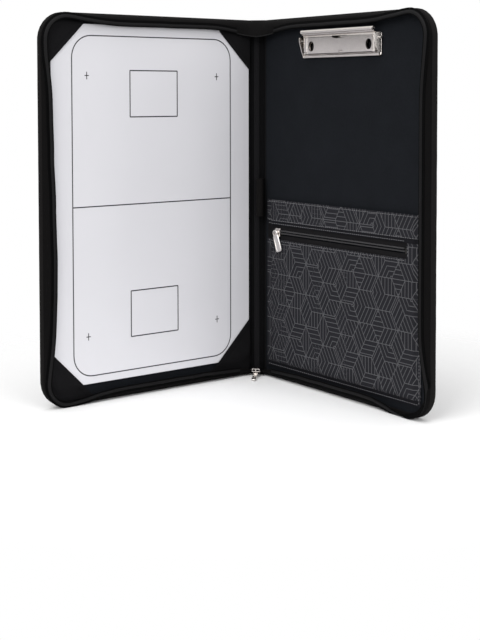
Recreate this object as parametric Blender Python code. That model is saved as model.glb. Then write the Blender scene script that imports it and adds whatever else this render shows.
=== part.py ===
"""Zip-round A4 tactics folder, standing open as a V on its bottom edges.

Two padded cloth covers fold about a narrow spine. Each cover carries half of the main zip as a
leaning cloth wall round its three free edges. The front cover holds a white tactics board in four
corner pockets. The back cover holds a sprung paper clip and a zipped pocket.

Each cover and the spine has its own frame, set by an empty on the fold axis. A place in a frame is
(u, w, z): u runs from the fold along the cloth, w is the height above the lining towards the
reader, and z is up. The layers under the lining have negative w. All lengths are in metres.
"""
import math
from collections import namedtuple

import bmesh
import bpy
from mathutils import Vector

MM = 0.001

# Overall folder
COVER_WIDTH = 234 * MM
COVER_HEIGHT = 350 * MM
CORNER_RADIUS = 25 * MM
SPINE_WIDTH = 16 * MM
OPEN_ANGLE = math.radians(87)

# Gaps between neighbouring pieces
GAP = 0.3 * MM
FOLD_CLEAR = 1.0 * MM
MITRE_GAP = 0.4 * MM

# Layers of the covers and the spine, from the inside out
LINING_THICK = 0.5 * MM
FOAM_THICK = 1.0 * MM
STIFFENER_THICK = 1.5 * MM
SHELL_THICK = 0.8 * MM
CORE_INSET = 3.0 * MM
CORE_FOLD_INSET = 3.0 * MM
SPINE_CORE_INSET = 2.2 * MM

# Edge binding
BINDING_THICK = 0.6 * MM
BINDING_OUTER_LEG = 9.0 * MM
BINDING_INNER_LEG = 4.0 * MM

# Main zip: a cloth wall that rises steeply and then leans in, with teeth on its free edge
ZIP_TAPE_THICK = 0.6 * MM
ZIP_BASE_INSET = 1.4 * MM
ZIP_BEND_INSET = 3.2 * MM
ZIP_BEND_RISE = 4.4 * MM
ZIP_EDGE_INSET = 8.0 * MM
ZIP_EDGE_RISE = 6.3 * MM
TEETH_WIDTH = 2.4 * MM
TEETH_THICK = 1.7 * MM
TEETH_MEETING_GAP = 0.3 * MM
ZIP_BOTTOM_START = 17.5 * MM

# Tactics board and its corner pockets
BOARD_FOLD_INSET = 2.5 * MM
BOARD_OUTER_INSET = 10.0 * MM
BOARD_TOP_INSET = 10.0 * MM
BOARD_BOTTOM_INSET = 17.0 * MM
BOARD_THICK = 1.5 * MM
BOARD_CORNER_RADIUS = 8.0 * MM
POCKET_FOLD_LEG = 37.5 * MM
POCKET_RIM_LEG = 32.5 * MM
POCKET_THICK = 0.6 * MM
POCKET_SEAM = 5.0 * MM

# Paper clip
CLIP_WIDTH = 108 * MM
CLIP_CENTRE_U = 118.5 * MM
CLIP_TOP_INSET = 13.2 * MM
CLIP_BASE_HEIGHT = 25.6 * MM
CLIP_BASE_TOP_DROP = 5.4 * MM
CLIP_SHEET = 1.0 * MM
EAR_TOP_INSET = 0.4 * MM
EAR_LOW_INSET = 1.6 * MM
EAR_FLAT = 5.0 * MM
EAR_RISE = 8.4 * MM
EAR_TOE = 0.8 * MM
PIN_RADIUS = 1.0 * MM
PIN_CLEAR = 0.1 * MM
PIN_RISE = 3.5 * MM
PIN_DROP = 10.0 * MM
LEVER_WIDTH = 99.5 * MM
LEVER_SHEET = 0.9 * MM
LEVER_PANEL_RISE = 6.05 * MM
LEVER_STEP_DROP = 6.0 * MM
LEVER_ROLL_RADIUS = 1.5 * MM
LEVER_ROLL_RISE = 8.1 * MM
LEVER_LUG_RADIUS = 1.8 * MM
LEVER_HOLE_WIDTH = 8.0 * MM
LEVER_HOLE_HEIGHT = 9.4 * MM
LEVER_SLOT_WIDTH = 20.0 * MM
LEVER_SLOT_HEIGHT = 2.0 * MM
LEVER_SLOT_DROP = 7.2 * MM
RIVET_SPACING = 80.4 * MM
RIVET_DROP = 15.3 * MM
RIVET_SHANK_RADIUS = 1.5 * MM
RIVET_HEAD_RADIUS = 3.0 * MM
RIVET_HEAD_HEIGHT = 1.2 * MM
SPRING_WIRE = 0.6 * MM
SPRING_RADIUS = 1.5 * MM
SPRING_PITCH = 1.35 * MM
SPRING_TURNS = 6
SPRING_LEG = 5.0 * MM

# Zipped pocket on the back cover
POCKET_FOLD_INSET = 4.5 * MM
POCKET_OUTER_INSET = 12.5 * MM
POCKET_HEM_Z = 175.0 * MM
POCKET_BOTTOM_Z = 11.0 * MM
WINDOW_TOP_Z = 150.5 * MM
WINDOW_BOTTOM_Z = 136.5 * MM
WINDOW_OUTER_INSET = 28.0 * MM
POCKET_CLOTH = 0.6 * MM
POCKET_RISE = 2.6 * MM
POCKET_FLANGE = 3.5 * MM
POCKET_SLOPE = 3.5 * MM
POCKET_FOLD_FLANGE = 6.5 * MM
SMALL_TAPE_THICK = 0.4 * MM
SMALL_TAPE_RISE = 1.9 * MM
SMALL_TAPE_LAP = 3.0 * MM
SMALL_TAPE_START = 0.8 * MM
SMALL_TAPE_RAMP = 3.0 * MM
COIL_WIDTH = 1.5 * MM
COIL_THICK = 1.4 * MM
COIL_SLIT = 1.6 * MM
STOP_LENGTH = 1.8 * MM
POCKET_STOP_U = 17.5 * MM

# Sliders, alike on both zips
SLIDER_LENGTH = 8.4 * MM
SLIDER_HALF_WIDTH = 4.4 * MM
SLIDER_LIP = 1.2 * MM
SLIDER_PLATE = 0.7 * MM
SLIDER_CHANNEL = 2.0 * MM
SLIDER_SLOT = 1.0 * MM
SLIDER_WEDGE = 1.0 * MM
CROWN_LEG = 1.4 * MM
CROWN_SPAN = 5.2 * MM
CROWN_BAR = 1.0 * MM
PULL_THICK = 1.2 * MM
PULL_LENGTH = 22.0 * MM
PULL_TOP_WIDTH = 6.6 * MM
PULL_WAIST_WIDTH = 6.4 * MM
PULL_END_WIDTH = 8.4 * MM
PULL_HOLE_WIDTH = 3.2 * MM
PULL_HOLE_LENGTH = 3.4 * MM
PULL_BAR = 1.1 * MM
PULL_LEAN = math.radians(22)
MAIN_SLIDER_Z = 7.0 * MM
MAIN_PULL_TOP_WIDTH = 4.6 * MM
MAIN_PULL_WAIST_WIDTH = 3.0 * MM
MAIN_PULL_END_WIDTH = 4.0 * MM
MAIN_PULL_HOLE_WIDTH = 2.6 * MM
MAIN_PULL_DROOP = math.radians(8)

# Pen loop on the spine
LOOP_WIDTH = 7.2 * MM
LOOP_DEPTH = 10.2 * MM
LOOP_WALL = 0.9 * MM
LOOP_FOLD_INSET = 1.2 * MM
LOOP_BOTTOM_Z = 158.0 * MM
LOOP_HEIGHT = 37.0 * MM

# Trim on the outside of the front cover
RIBBON_FOLD_U = 15.0 * MM
RIBBON_WIDTH = 39.0 * MM
RIBBON_THICK = 0.8 * MM
STRIP_START_U = 55.0 * MM
STRIP_WIDTH = 8.6 * MM
STRIP_THICK = 0.6 * MM
BADGE_RIM_INSET = 52.0 * MM
BADGE_DROP = 57.0 * MM
BADGE_RADIUS = 25.0 * MM
BADGE_THICK = 0.5 * MM
LABEL_GAP = 12.5 * MM
LABEL_WIDTH = 49.0 * MM
LABEL_HEIGHT = 14.0 * MM
LABEL_THICK = 0.4 * MM

# Facets
CORNER_STEPS = 8
FOLD_STEPS = 4
ROUND_SIDES = 16
SMALL_CORNER_STEPS = 4

# Heights of the layers, worked out from the lining's face at w = 0
LINING_BACK = -LINING_THICK
FOAM_FACE = LINING_BACK - GAP
FOAM_BACK = FOAM_FACE - FOAM_THICK
STIFFENER_FACE = FOAM_BACK - GAP
STIFFENER_BACK = STIFFENER_FACE - STIFFENER_THICK
SHELL_FACE = STIFFENER_BACK - GAP
SHELL_BACK = SHELL_FACE - SHELL_THICK
BINDING_BACK = SHELL_BACK - GAP - BINDING_THICK
BINDING_FACE = GAP + BINDING_THICK
CLOTH_INSET = BINDING_THICK + GAP

# Fold geometry, with the whole folder centred over the origin
WING_ANGLE = OPEN_ANGLE / 2
WING_REACH = COVER_WIDTH * math.cos(WING_ANGLE) + BINDING_FACE * math.sin(WING_ANGLE)
SPINE_Y = (WING_REACH + BINDING_BACK) / 2
BOARD_RISE = GAP
CLIP_TOP_Z = COVER_HEIGHT - CLIP_TOP_INSET
PIN_Z = CLIP_TOP_Z - PIN_DROP
CLIP_BASE_FACE = GAP + CLIP_SHEET
COIL_CENTRE_Z = (WINDOW_TOP_Z + WINDOW_BOTTOM_Z) / 2
COIL_CENTRE_W = SMALL_TAPE_RISE + SMALL_TAPE_THICK / 2

Frame = namedtuple("Frame", "empty side")

MATERIALS = {
    "cover_cloth": ((0.030, 0.029, 0.035), 0.85, 0.0),
    "lining_cloth": ((0.016, 0.019, 0.023), 0.8, 0.0),
    "black_cloth": ((0.012, 0.012, 0.013), 0.85, 0.0),
    "binding_cloth": ((0.022, 0.021, 0.023), 0.9, 0.0),
    "zip_cloth": ((0.014, 0.014, 0.015), 0.85, 0.0),
    "zip_plastic": ((0.018, 0.018, 0.020), 0.45, 0.0),
    "greyboard": ((0.30, 0.27, 0.23), 0.9, 0.0),
    "foam": ((0.45, 0.45, 0.43), 0.95, 0.0),
    "white_board": ((0.74, 0.73, 0.77), 0.18, 0.0),
    "pattern_cloth": ((0.045, 0.045, 0.052), 0.85, 0.0),
    "ribbon_cloth": ((0.045, 0.043, 0.050), 0.9, 0.0),
    "nickel": ((0.72, 0.69, 0.65), 0.22, 1.0),
    "spring_steel": ((0.42, 0.41, 0.40), 0.35, 1.0),
    "elastic": ((0.020, 0.016, 0.014), 0.85, 0.0),
    "badge_red": ((0.50, 0.03, 0.03), 0.6, 0.0),
    "label_white": ((0.75, 0.75, 0.75), 0.6, 0.0),
}


def clear_scene():
    for obj in list(bpy.data.objects):
        bpy.data.objects.remove(obj, do_unlink=True)


def material(name):
    found = bpy.data.materials.get("folder_" + name)
    if found:
        return found
    colour, roughness, metallic = MATERIALS[name]
    made = bpy.data.materials.new("folder_" + name)
    made.use_nodes = True
    shader = made.node_tree.nodes["Principled BSDF"]
    shader.inputs["Base Color"].default_value = (*colour, 1.0)
    shader.inputs["Roughness"].default_value = roughness
    shader.inputs["Metallic"].default_value = metallic
    return made


def make_frame(name, location, turn, side):
    """An empty on a fold axis. side is +1 or -1: the local Y direction that the inside faces."""
    empty = bpy.data.objects.new(name, None)
    empty.location = location
    empty.rotation_euler = (0, 0, turn)
    bpy.context.scene.collection.objects.link(empty)
    return Frame(empty, side)


def add_object(name, bm, frame, material_name, origin=(0, 0, 0), smooth=False):
    """Turn a mesh written in (u, w, z) into a named object whose origin is at origin."""
    for vert in bm.verts:
        u, w, z = vert.co - Vector(origin)
        vert.co = (u, frame.side * w, z)
    bmesh.ops.recalc_face_normals(bm, faces=bm.faces)
    if bm.calc_volume(signed=True) < 0:
        bmesh.ops.reverse_faces(bm, faces=bm.faces)
    mesh = bpy.data.meshes.new(name)
    bm.to_mesh(mesh)
    bm.free()
    if smooth:
        mesh.shade_smooth()
        mesh.set_sharp_from_angle(angle=math.radians(35))
    obj = bpy.data.objects.new(name, mesh)
    obj.data.materials.append(material(material_name))
    obj.parent = frame.empty
    obj.location = (origin[0], frame.side * origin[1], origin[2])
    bpy.context.scene.collection.objects.link(obj)
    return obj


def add_helper(name, bm, frame, origin=(0, 0, 0)):
    """A cutter or a piece to be united, left out of the finished folder."""
    helper = add_object(name, bm, frame, "greyboard", origin)
    helper.hide_render = True
    helper.display_type = "WIRE"
    return helper


def combine(obj, helper, operation):
    modifier = obj.modifiers.new(operation.title(), "BOOLEAN")
    modifier.operation = operation
    modifier.solver = "EXACT"
    modifier.object = helper


def arc(centre, radius, start, stop, steps):
    """Points of a circular arc, angles in degrees, both ends included."""
    points = []
    for step in range(steps + 1):
        angle = math.radians(start + (stop - start) * step / steps)
        points.append((centre[0] + radius * math.cos(angle), centre[1] + radius * math.sin(angle)))
    return points


def rectangle(u0, u1, z0, z1):
    return [(u0, z0), (u1, z0), (u1, z1), (u0, z1)]


def rounded_rectangle(u0, u1, z0, z1, radius):
    outline = arc((u1 - radius, z0 + radius), radius, -90, 0, SMALL_CORNER_STEPS)
    outline += arc((u1 - radius, z1 - radius), radius, 0, 90, SMALL_CORNER_STEPS)
    outline += arc((u0 + radius, z1 - radius), radius, 90, 180, SMALL_CORNER_STEPS)
    outline += arc((u0 + radius, z0 + radius), radius, 180, 270, SMALL_CORNER_STEPS)
    return outline


def cover_outline(fold_inset, inset):
    """The cover's outline drawn in by inset, square at the fold and round at the free corners."""
    outer = COVER_WIDTH - inset
    radius = CORNER_RADIUS - inset
    outline = [(fold_inset, inset)]
    outline += arc((outer - radius, inset + radius), radius, -90, 0, CORNER_STEPS)
    outline += arc((outer - radius, COVER_HEIGHT - inset - radius), radius, 0, 90, CORNER_STEPS)
    outline.append((fold_inset, COVER_HEIGHT - inset))
    return outline


def prism(outline, w0, w1):
    """A flat solid: an outline of (u, z) points between two heights."""
    bm = bmesh.new()
    add_prism(bm, outline, w0, w1)
    return bm


def add_prism(bm, outline, w0, w1):
    low = [bm.verts.new((u, w0, z)) for u, z in outline]
    high = [bm.verts.new((u, w1, z)) for u, z in outline]
    bm.faces.new(low)
    bm.faces.new(high)
    count = len(outline)
    for i in range(count):
        j = (i + 1) % count
        bm.faces.new((low[i], low[j], high[j], high[i]))


def sweep(section, stations):
    """Carry a closed section of (a, b) points along stations, each giving (u, w, z) of a point."""
    bm = bmesh.new()
    rows = [[bm.verts.new(station(a, b)) for a, b in section] for station in stations]
    count = len(section)
    for first, second in zip(rows, rows[1:]):
        for i in range(count):
            j = (i + 1) % count
            bm.faces.new((first[i], first[j], second[j], second[i]))
    bm.faces.new(rows[0])
    bm.faces.new(rows[-1])
    return bm


def strip_section(points, thick):
    """A closed outline of even thickness about a line of points."""
    line = [Vector(point) for point in points]
    left, right = [], []
    for i, point in enumerate(line):
        before = (point - line[i - 1]).normalized() if i else None
        after = (line[i + 1] - point).normalized() if i < len(line) - 1 else None
        along = ((before or after) + (after or before)).normalized()
        normal = Vector((-along.y, along.x))
        reach = thick / 2 / max(normal.dot(Vector((-(before or after).y, (before or after).x))), 0.3)
        left.append(point + normal * reach)
        right.append(point - normal * reach)
    return [tuple(point) for point in left + right[::-1]]


def mitre(w):
    """How far from the fold a piece at height w starts, so that a closed cover clears the spine."""
    return max(FOLD_CLEAR, w + MITRE_GAP)


def rim_stations(bottom_start, top_start):
    """Stations along the cover's rim for a section of (inset, w) points."""
    centre_u = COVER_WIDTH - CORNER_RADIUS

    def corner(centre_z, degrees):
        turn = math.radians(degrees)

        def at(inset, w):
            radius = CORNER_RADIUS - inset
            return (centre_u + radius * math.cos(turn), w, centre_z + radius * math.sin(turn))
        return at

    stations = [lambda inset, w: (bottom_start(w), w, inset)]
    for step in range(CORNER_STEPS + 1):
        stations.append(corner(CORNER_RADIUS, -90 + 90 * step / CORNER_STEPS))
    for step in range(CORNER_STEPS + 1):
        stations.append(corner(COVER_HEIGHT - CORNER_RADIUS, 90 * step / CORNER_STEPS))
    stations.append(lambda inset, w: (top_start(w), w, COVER_HEIGHT - inset))
    return stations


def spine_end_stations(at_top):
    """Stations across the spine for a section of (inset, w) points, mitred to the covers."""
    def height(inset):
        return COVER_HEIGHT - inset if at_top else inset
    return [lambda inset, w: (-(SPINE_WIDTH / 2 - mitre(w)), w, height(inset)),
            lambda inset, w: (SPINE_WIDTH / 2 - mitre(w), w, height(inset))]


def binding_section():
    """A cloth tape folded round the edge, as (inset, w) points."""
    inner_face = BINDING_FACE
    inner_back = BINDING_FACE - BINDING_THICK
    outer_face = BINDING_BACK + BINDING_THICK
    return [(0, inner_face), (BINDING_INNER_LEG, inner_face), (BINDING_INNER_LEG, inner_back),
            (BINDING_THICK, inner_back), (BINDING_THICK, outer_face), (BINDING_OUTER_LEG, outer_face),
            (BINDING_OUTER_LEG, BINDING_BACK), (0, BINDING_BACK)]


def zip_base():
    return (ZIP_BASE_INSET, BINDING_FACE + GAP + ZIP_TAPE_THICK / 2)


def zip_edge():
    return Vector((ZIP_EDGE_INSET, ZIP_EDGE_RISE))


def zip_lean():
    """The direction in which the top of the zip wall leans, as (inset, w)."""
    return (zip_edge() - Vector((ZIP_BEND_INSET, ZIP_BEND_RISE))).normalized()


def zip_tape_section():
    bend = (ZIP_BEND_INSET, ZIP_BEND_RISE)
    return strip_section([zip_base(), bend, tuple(zip_edge())], ZIP_TAPE_THICK)


def teeth_section():
    """The bar of teeth, its top face at the middle plane between the closed covers."""
    top = SPINE_WIDTH / 2 - TEETH_MEETING_GAP / 2
    start = zip_edge() + zip_lean() * GAP
    inner = start.x + TEETH_WIDTH
    low = top - TEETH_THICK
    return [(start.x, low), (inner, low), (inner, top), (start.x, top)]


def zip_bottom_start(w):
    """The bottom wall starts later where it is high, to leave room for the parked slider."""
    return ZIP_BOTTOM_START if w > ZIP_BEND_RISE - ZIP_TAPE_THICK else mitre(w)


def cloth_layers(prefix, frame, cloth, core):
    """Shell, stiffener, foam and lining on the outlines of the cloth and of the core."""
    add_object(prefix + "_shell", prism(cloth, SHELL_BACK, SHELL_FACE), frame, "cover_cloth")
    stiffener = add_object(prefix + "_stiffener", prism(core, STIFFENER_BACK, STIFFENER_FACE), frame,
                           "greyboard")
    foam = add_object(prefix + "_foam", prism(core, FOAM_BACK, FOAM_FACE), frame, "foam")
    lining = add_object(prefix + "_lining", prism(cloth, LINING_BACK, 0), frame, "lining_cloth")
    return stiffener, foam, lining


def cover_body(prefix, frame):
    """What both covers share: the layers, the binding and half of the main zip."""
    layers = cloth_layers(prefix, frame, cover_outline(FOLD_CLEAR, CLOTH_INSET),
                          cover_outline(CORE_FOLD_INSET, CORE_INSET))
    binding = sweep(binding_section(), rim_stations(mitre, mitre))
    add_object(prefix + "_binding", binding, frame, "binding_cloth")
    tape = sweep(zip_tape_section(), rim_stations(zip_bottom_start, mitre))
    add_object(prefix + "_zip_tape", tape, frame, "zip_cloth")
    teeth = sweep(teeth_section(), rim_stations(zip_bottom_start, mitre))
    add_object(prefix + "_zip_teeth", teeth, frame, "zip_plastic")
    return layers


def board_outline(clearance=0.0):
    return rounded_rectangle(BOARD_FOLD_INSET - clearance,
                             COVER_WIDTH - BOARD_OUTER_INSET + clearance,
                             BOARD_BOTTOM_INSET - clearance,
                             COVER_HEIGHT - BOARD_TOP_INSET + clearance,
                             BOARD_CORNER_RADIUS)


def tactics_board(frame):
    board = prism(board_outline(), BOARD_RISE, BOARD_RISE + BOARD_THICK)
    add_object("tactics_board", board, frame, "white_board")


def corner_pocket_outline(at_fold, at_top):
    """A triangle over one corner of the board, carried on to its seam beside the rim."""
    board_u = BOARD_FOLD_INSET if at_fold else COVER_WIDTH - BOARD_OUTER_INSET
    board_z = COVER_HEIGHT - BOARD_TOP_INSET if at_top else BOARD_BOTTOM_INSET
    seam_u = FOLD_CLEAR + GAP if at_fold else COVER_WIDTH - POCKET_SEAM
    seam_z = COVER_HEIGHT - POCKET_SEAM if at_top else POCKET_SEAM
    inward_u = 1 if at_fold else -1
    inward_z = -1 if at_top else 1
    leg = POCKET_FOLD_LEG if at_fold else POCKET_RIM_LEG
    leg += abs(board_u - seam_u) + abs(board_z - seam_z)
    along_u = (seam_u + inward_u * leg, seam_z)
    along_z = (seam_u, seam_z + inward_z * leg)
    if at_fold:
        return [(seam_u, seam_z), along_u, along_z]
    radius = CORNER_RADIUS - POCKET_SEAM
    centre_z = COVER_HEIGHT - CORNER_RADIUS if at_top else CORNER_RADIUS
    start, stop = (90, 0) if at_top else (-90, 0)
    return [along_u] + arc((COVER_WIDTH - CORNER_RADIUS, centre_z), radius, start, stop,
                           CORNER_STEPS) + [along_z]


def corner_pockets(frame):
    """Four cloth triangles that hold the board's corners, each open on its long side."""
    face = BOARD_RISE + BOARD_THICK + GAP
    room = prism(board_outline(GAP), -GAP, face)
    cutter = add_helper("board_room", room, frame)
    for at_top in (True, False):
        for at_fold in (True, False):
            name = "board_corner_%s_%s" % ("top" if at_top else "bottom", "fold" if at_fold else "rim")
            outline = corner_pocket_outline(at_fold, at_top)
            pocket = add_object(name, prism(outline, GAP, face + POCKET_THICK), frame, "black_cloth")
            combine(pocket, cutter, "DIFFERENCE")


def outer_trim(frame):
    """Ribbon, seam strip, badge and name label on the outside of the front cover."""
    face = SHELL_BACK - GAP
    low = BINDING_OUTER_LEG + GAP
    high = COVER_HEIGHT - low
    ribbon = rectangle(RIBBON_FOLD_U, RIBBON_FOLD_U + RIBBON_WIDTH, low, high)
    add_object("front_ribbon", prism(ribbon, face - RIBBON_THICK, face), frame, "ribbon_cloth")
    strip = rectangle(STRIP_START_U, STRIP_START_U + STRIP_WIDTH, low, high)
    add_object("front_seam_strip", prism(strip, face - STRIP_THICK, face), frame, "cover_cloth")
    badge_u = COVER_WIDTH - BADGE_RIM_INSET
    badge_z = COVER_HEIGHT - BADGE_DROP
    badge = arc((badge_u, badge_z), BADGE_RADIUS, 0, 360, 2 * ROUND_SIDES)[:-1]
    add_object("front_badge", prism(badge, face - BADGE_THICK, face), frame, "badge_red")
    label_top = badge_z - BADGE_RADIUS - LABEL_GAP
    label = rectangle(badge_u - LABEL_WIDTH / 2, badge_u + LABEL_WIDTH / 2,
                      label_top - LABEL_HEIGHT, label_top)
    add_object("front_name_label", prism(label, face - LABEL_THICK, face), frame, "label_white")


def rivet_places():
    for name, step in (("left", -0.5), ("right", 0.5)):
        yield name, CLIP_CENTRE_U + step * RIVET_SPACING, CLIP_TOP_Z - RIVET_DROP


def clip_ear_outline():
    """Side view of an ear as (z, w) points: high beside the pin and sloping down to the jaw."""
    low = CLIP_TOP_Z - CLIP_BASE_HEIGHT + EAR_LOW_INSET
    high = CLIP_TOP_Z - CLIP_BASE_TOP_DROP - EAR_TOP_INSET
    return [(low, GAP), (high, GAP), (high, PIN_RISE + LEVER_LUG_RADIUS),
            (PIN_Z + EAR_FLAT / 2, EAR_RISE), (PIN_Z - EAR_FLAT / 2, EAR_RISE),
            (low, CLIP_BASE_FACE + EAR_TOE)]


def along_u(u0, u1):
    """Stations that carry a section of (z, w) points straight along the fold's normal."""
    return [lambda z, w: (u0, w, z), lambda z, w: (u1, w, z)]


def pin_hole(name, frame):
    hole = sweep(arc((PIN_Z, PIN_RISE), PIN_RADIUS + PIN_CLEAR, 0, 360, ROUND_SIDES)[:-1],
                 along_u(CLIP_CENTRE_U - CLIP_WIDTH, CLIP_CENTRE_U + CLIP_WIDTH))
    return add_helper(name, hole, frame)


def rivet_hole(name, u, z, frame):
    hole = prism(arc((u, z), RIVET_SHANK_RADIUS + GAP, 0, 360, ROUND_SIDES)[:-1],
                 STIFFENER_BACK - GAP, CLIP_BASE_FACE + GAP)
    return add_helper(name, hole, frame)


def clip_base(frame, pin_cutter):
    """A pressed plate with an ear at each end that carries the hinge pin."""
    u0 = CLIP_CENTRE_U - CLIP_WIDTH / 2
    u1 = CLIP_CENTRE_U + CLIP_WIDTH / 2
    plate = prism(rectangle(u0, u1, CLIP_TOP_Z - CLIP_BASE_HEIGHT, CLIP_TOP_Z - CLIP_BASE_TOP_DROP), GAP,
                  CLIP_BASE_FACE)
    base = add_object("clip_base", plate, frame, "nickel")
    for name, ear_start in (("left", u0), ("right", u1 - CLIP_SHEET)):
        ear = sweep(clip_ear_outline(), along_u(ear_start, ear_start + CLIP_SHEET))
        combine(base, add_helper("clip_ear_" + name, ear, frame), "UNION")
    combine(base, pin_cutter, "DIFFERENCE")
    return base


def clip_rivets(frame, pierced):
    """Two rivets through the base, the lining and the core, each in a clearance hole."""
    for name, u, z in rivet_places():
        hole = rivet_hole("rivet_room_" + name, u, z, frame)
        for piece in pierced:
            combine(piece, hole, "DIFFERENCE")
        shank_end = STIFFENER_BACK + GAP
        head_low = CLIP_BASE_FACE + GAP
        profile = [(0, shank_end), (RIVET_SHANK_RADIUS, shank_end), (RIVET_SHANK_RADIUS, head_low),
                   (RIVET_HEAD_RADIUS, head_low), (RIVET_HEAD_RADIUS, head_low + RIVET_HEAD_HEIGHT / 2),
                   (RIVET_HEAD_RADIUS * 0.6, head_low + RIVET_HEAD_HEIGHT),
                   (0, head_low + RIVET_HEAD_HEIGHT)]
        add_object("clip_rivet_" + name, turned(profile, u, z), frame, "nickel", smooth=True)


def turned(profile, u, z):
    """Turn (radius, w) points about an axis along w. The first and last points lie on the axis."""
    bm = bmesh.new()
    ends = [bm.verts.new((u, w, z)) for w in (profile[0][1], profile[-1][1])]
    rings = []
    for radius, w in profile[1:-1]:
        ring = arc((u, z), radius, 0, 360, ROUND_SIDES)[:-1]
        rings.append([bm.verts.new((pu, w, pz)) for pu, pz in ring])
    for i in range(ROUND_SIDES):
        j = (i + 1) % ROUND_SIDES
        bm.faces.new((ends[0], rings[0][j], rings[0][i]))
        bm.faces.new((ends[1], rings[-1][i], rings[-1][j]))
        for low, high in zip(rings, rings[1:]):
            bm.faces.new((low[i], low[j], high[j], high[i]))
    return bm


def lever_line():
    """Side view of the lever plate as (z, w): jaw lip, flat panel, a step and the rolled edge."""
    jaw_z = CLIP_TOP_Z - CLIP_BASE_HEIGHT + LEVER_SHEET
    jaw_w = CLIP_BASE_FACE + GAP
    step_z = CLIP_TOP_Z - LEVER_STEP_DROP
    roll_z = CLIP_TOP_Z - LEVER_ROLL_RADIUS - LEVER_SHEET / 2
    line = [(jaw_z - 0.6 * MM, jaw_w + LEVER_SHEET / 2), (jaw_z + 0.4 * MM, jaw_w + LEVER_SHEET),
            (jaw_z + 1.0 * MM, jaw_w + 2.9 * MM), (jaw_z + 2.2 * MM, LEVER_PANEL_RISE),
            (step_z, LEVER_PANEL_RISE)]
    line += arc((roll_z, LEVER_ROLL_RISE), LEVER_ROLL_RADIUS, 160, -90, 2 * SMALL_CORNER_STEPS)
    return line


def clip_lever(frame, pin_cutter):
    """The pressed plate that turns on the pin, with a lug at each end and three windows."""
    pivot = (CLIP_CENTRE_U, PIN_RISE, PIN_Z)
    u0 = CLIP_CENTRE_U - LEVER_WIDTH / 2
    u1 = CLIP_CENTRE_U + LEVER_WIDTH / 2
    plate = sweep(strip_section(lever_line(), LEVER_SHEET), along_u(u0, u1))
    lever = add_object("clip_lever", plate, frame, "nickel", origin=pivot)
    lug_top = PIN_RISE + LEVER_LUG_RADIUS + LEVER_SHEET
    lug_outline = arc((PIN_Z, PIN_RISE), LEVER_LUG_RADIUS, 180, 360, ROUND_SIDES // 2)
    lug_outline += [(PIN_Z + LEVER_LUG_RADIUS, lug_top), (PIN_Z - LEVER_LUG_RADIUS, lug_top)]
    for name, lug_start in (("left", u0), ("right", u1 - CLIP_SHEET)):
        lug = sweep(lug_outline, along_u(lug_start, lug_start + CLIP_SHEET))
        combine(lever, add_helper("clip_lug_" + name, lug, frame), "UNION")
    combine(lever, pin_cutter, "DIFFERENCE")
    for name, u, z in rivet_places():
        window = oval(u, z, LEVER_HOLE_WIDTH, LEVER_HOLE_HEIGHT)
        combine(lever, add_helper("lever_window_" + name, lever_cutter(window), frame), "DIFFERENCE")
    slot = oval(CLIP_CENTRE_U, CLIP_TOP_Z - LEVER_SLOT_DROP, LEVER_SLOT_WIDTH, LEVER_SLOT_HEIGHT)
    combine(lever, add_helper("lever_slot", lever_cutter(slot), frame), "DIFFERENCE")


def oval(u, z, width, height):
    return [(u + (pu - u) * width / height, pz)
            for pu, pz in arc((u, z), height / 2, 0, 360, ROUND_SIDES)[:-1]]


def lever_cutter(outline):
    return prism(outline, PIN_RISE + PIN_RADIUS, LEVER_ROLL_RISE)


def clip_pin(frame):
    length = CLIP_WIDTH + 2 * CLIP_SHEET
    pin = sweep(arc((PIN_Z, PIN_RISE), PIN_RADIUS, 0, 360, ROUND_SIDES)[:-1],
                along_u(CLIP_CENTRE_U - length / 2, CLIP_CENTRE_U + length / 2))
    add_object("clip_pin", pin, frame, "spring_steel", smooth=True)


def spring_points():
    """The spring's wire: a leg on the base, turns round the pin and a leg under the lever."""
    steps = 10
    start_u = CLIP_CENTRE_U - SPRING_PITCH * SPRING_TURNS / 2
    points = []
    for step in range(SPRING_TURNS * steps + steps // 2 + 1):
        turn = step / steps
        angle = -math.pi / 2 - 2 * math.pi * turn
        points.append(Vector((start_u + SPRING_PITCH * turn,
                              PIN_RISE + SPRING_RADIUS * math.sin(angle),
                              PIN_Z + SPRING_RADIUS * math.cos(angle))))
    first = points[0] + Vector((0, 0, -SPRING_LEG))
    last = points[-1] + Vector((0, 0, SPRING_LEG * 0.6))
    return [first] + points + [last]


def print_spring_gap(points):
    """Least clear distance between turns, on points that lie more than half a turn apart."""
    least = min((a - b).length for i, a in enumerate(points) for b in points[i + 6:])
    print("clip spring: least gap to itself %.2f mm" % ((least - SPRING_WIRE) / MM))


def clip_spring(frame):
    points = spring_points()
    print_spring_gap(points)
    curve = bpy.data.curves.new("clip_spring", "CURVE")
    curve.dimensions = "3D"
    curve.bevel_depth = SPRING_WIRE / 2
    curve.bevel_resolution = 1
    curve.use_fill_caps = True
    spline = curve.splines.new("POLY")
    spline.points.add(len(points) - 1)
    for point, place in zip(spline.points, points):
        point.co = (place.x, frame.side * place.y, place.z, 1)
    curve.materials.append(material("spring_steel"))
    obj = bpy.data.objects.new("clip_spring", curve)
    obj.parent = frame.empty
    bpy.context.scene.collection.objects.link(obj)


def paper_clip(frame, layers):
    pin_cutter = pin_hole("clip_pin_room", frame)
    base = clip_base(frame, pin_cutter)
    clip_rivets(frame, [base, *layers])
    clip_pin(frame)
    clip_spring(frame)
    clip_lever(frame, pin_cutter)


def pocket_edges():
    """The pocket's fold-side and rim-side edges along u."""
    return POCKET_FOLD_INSET, COVER_WIDTH - POCKET_OUTER_INSET


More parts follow.
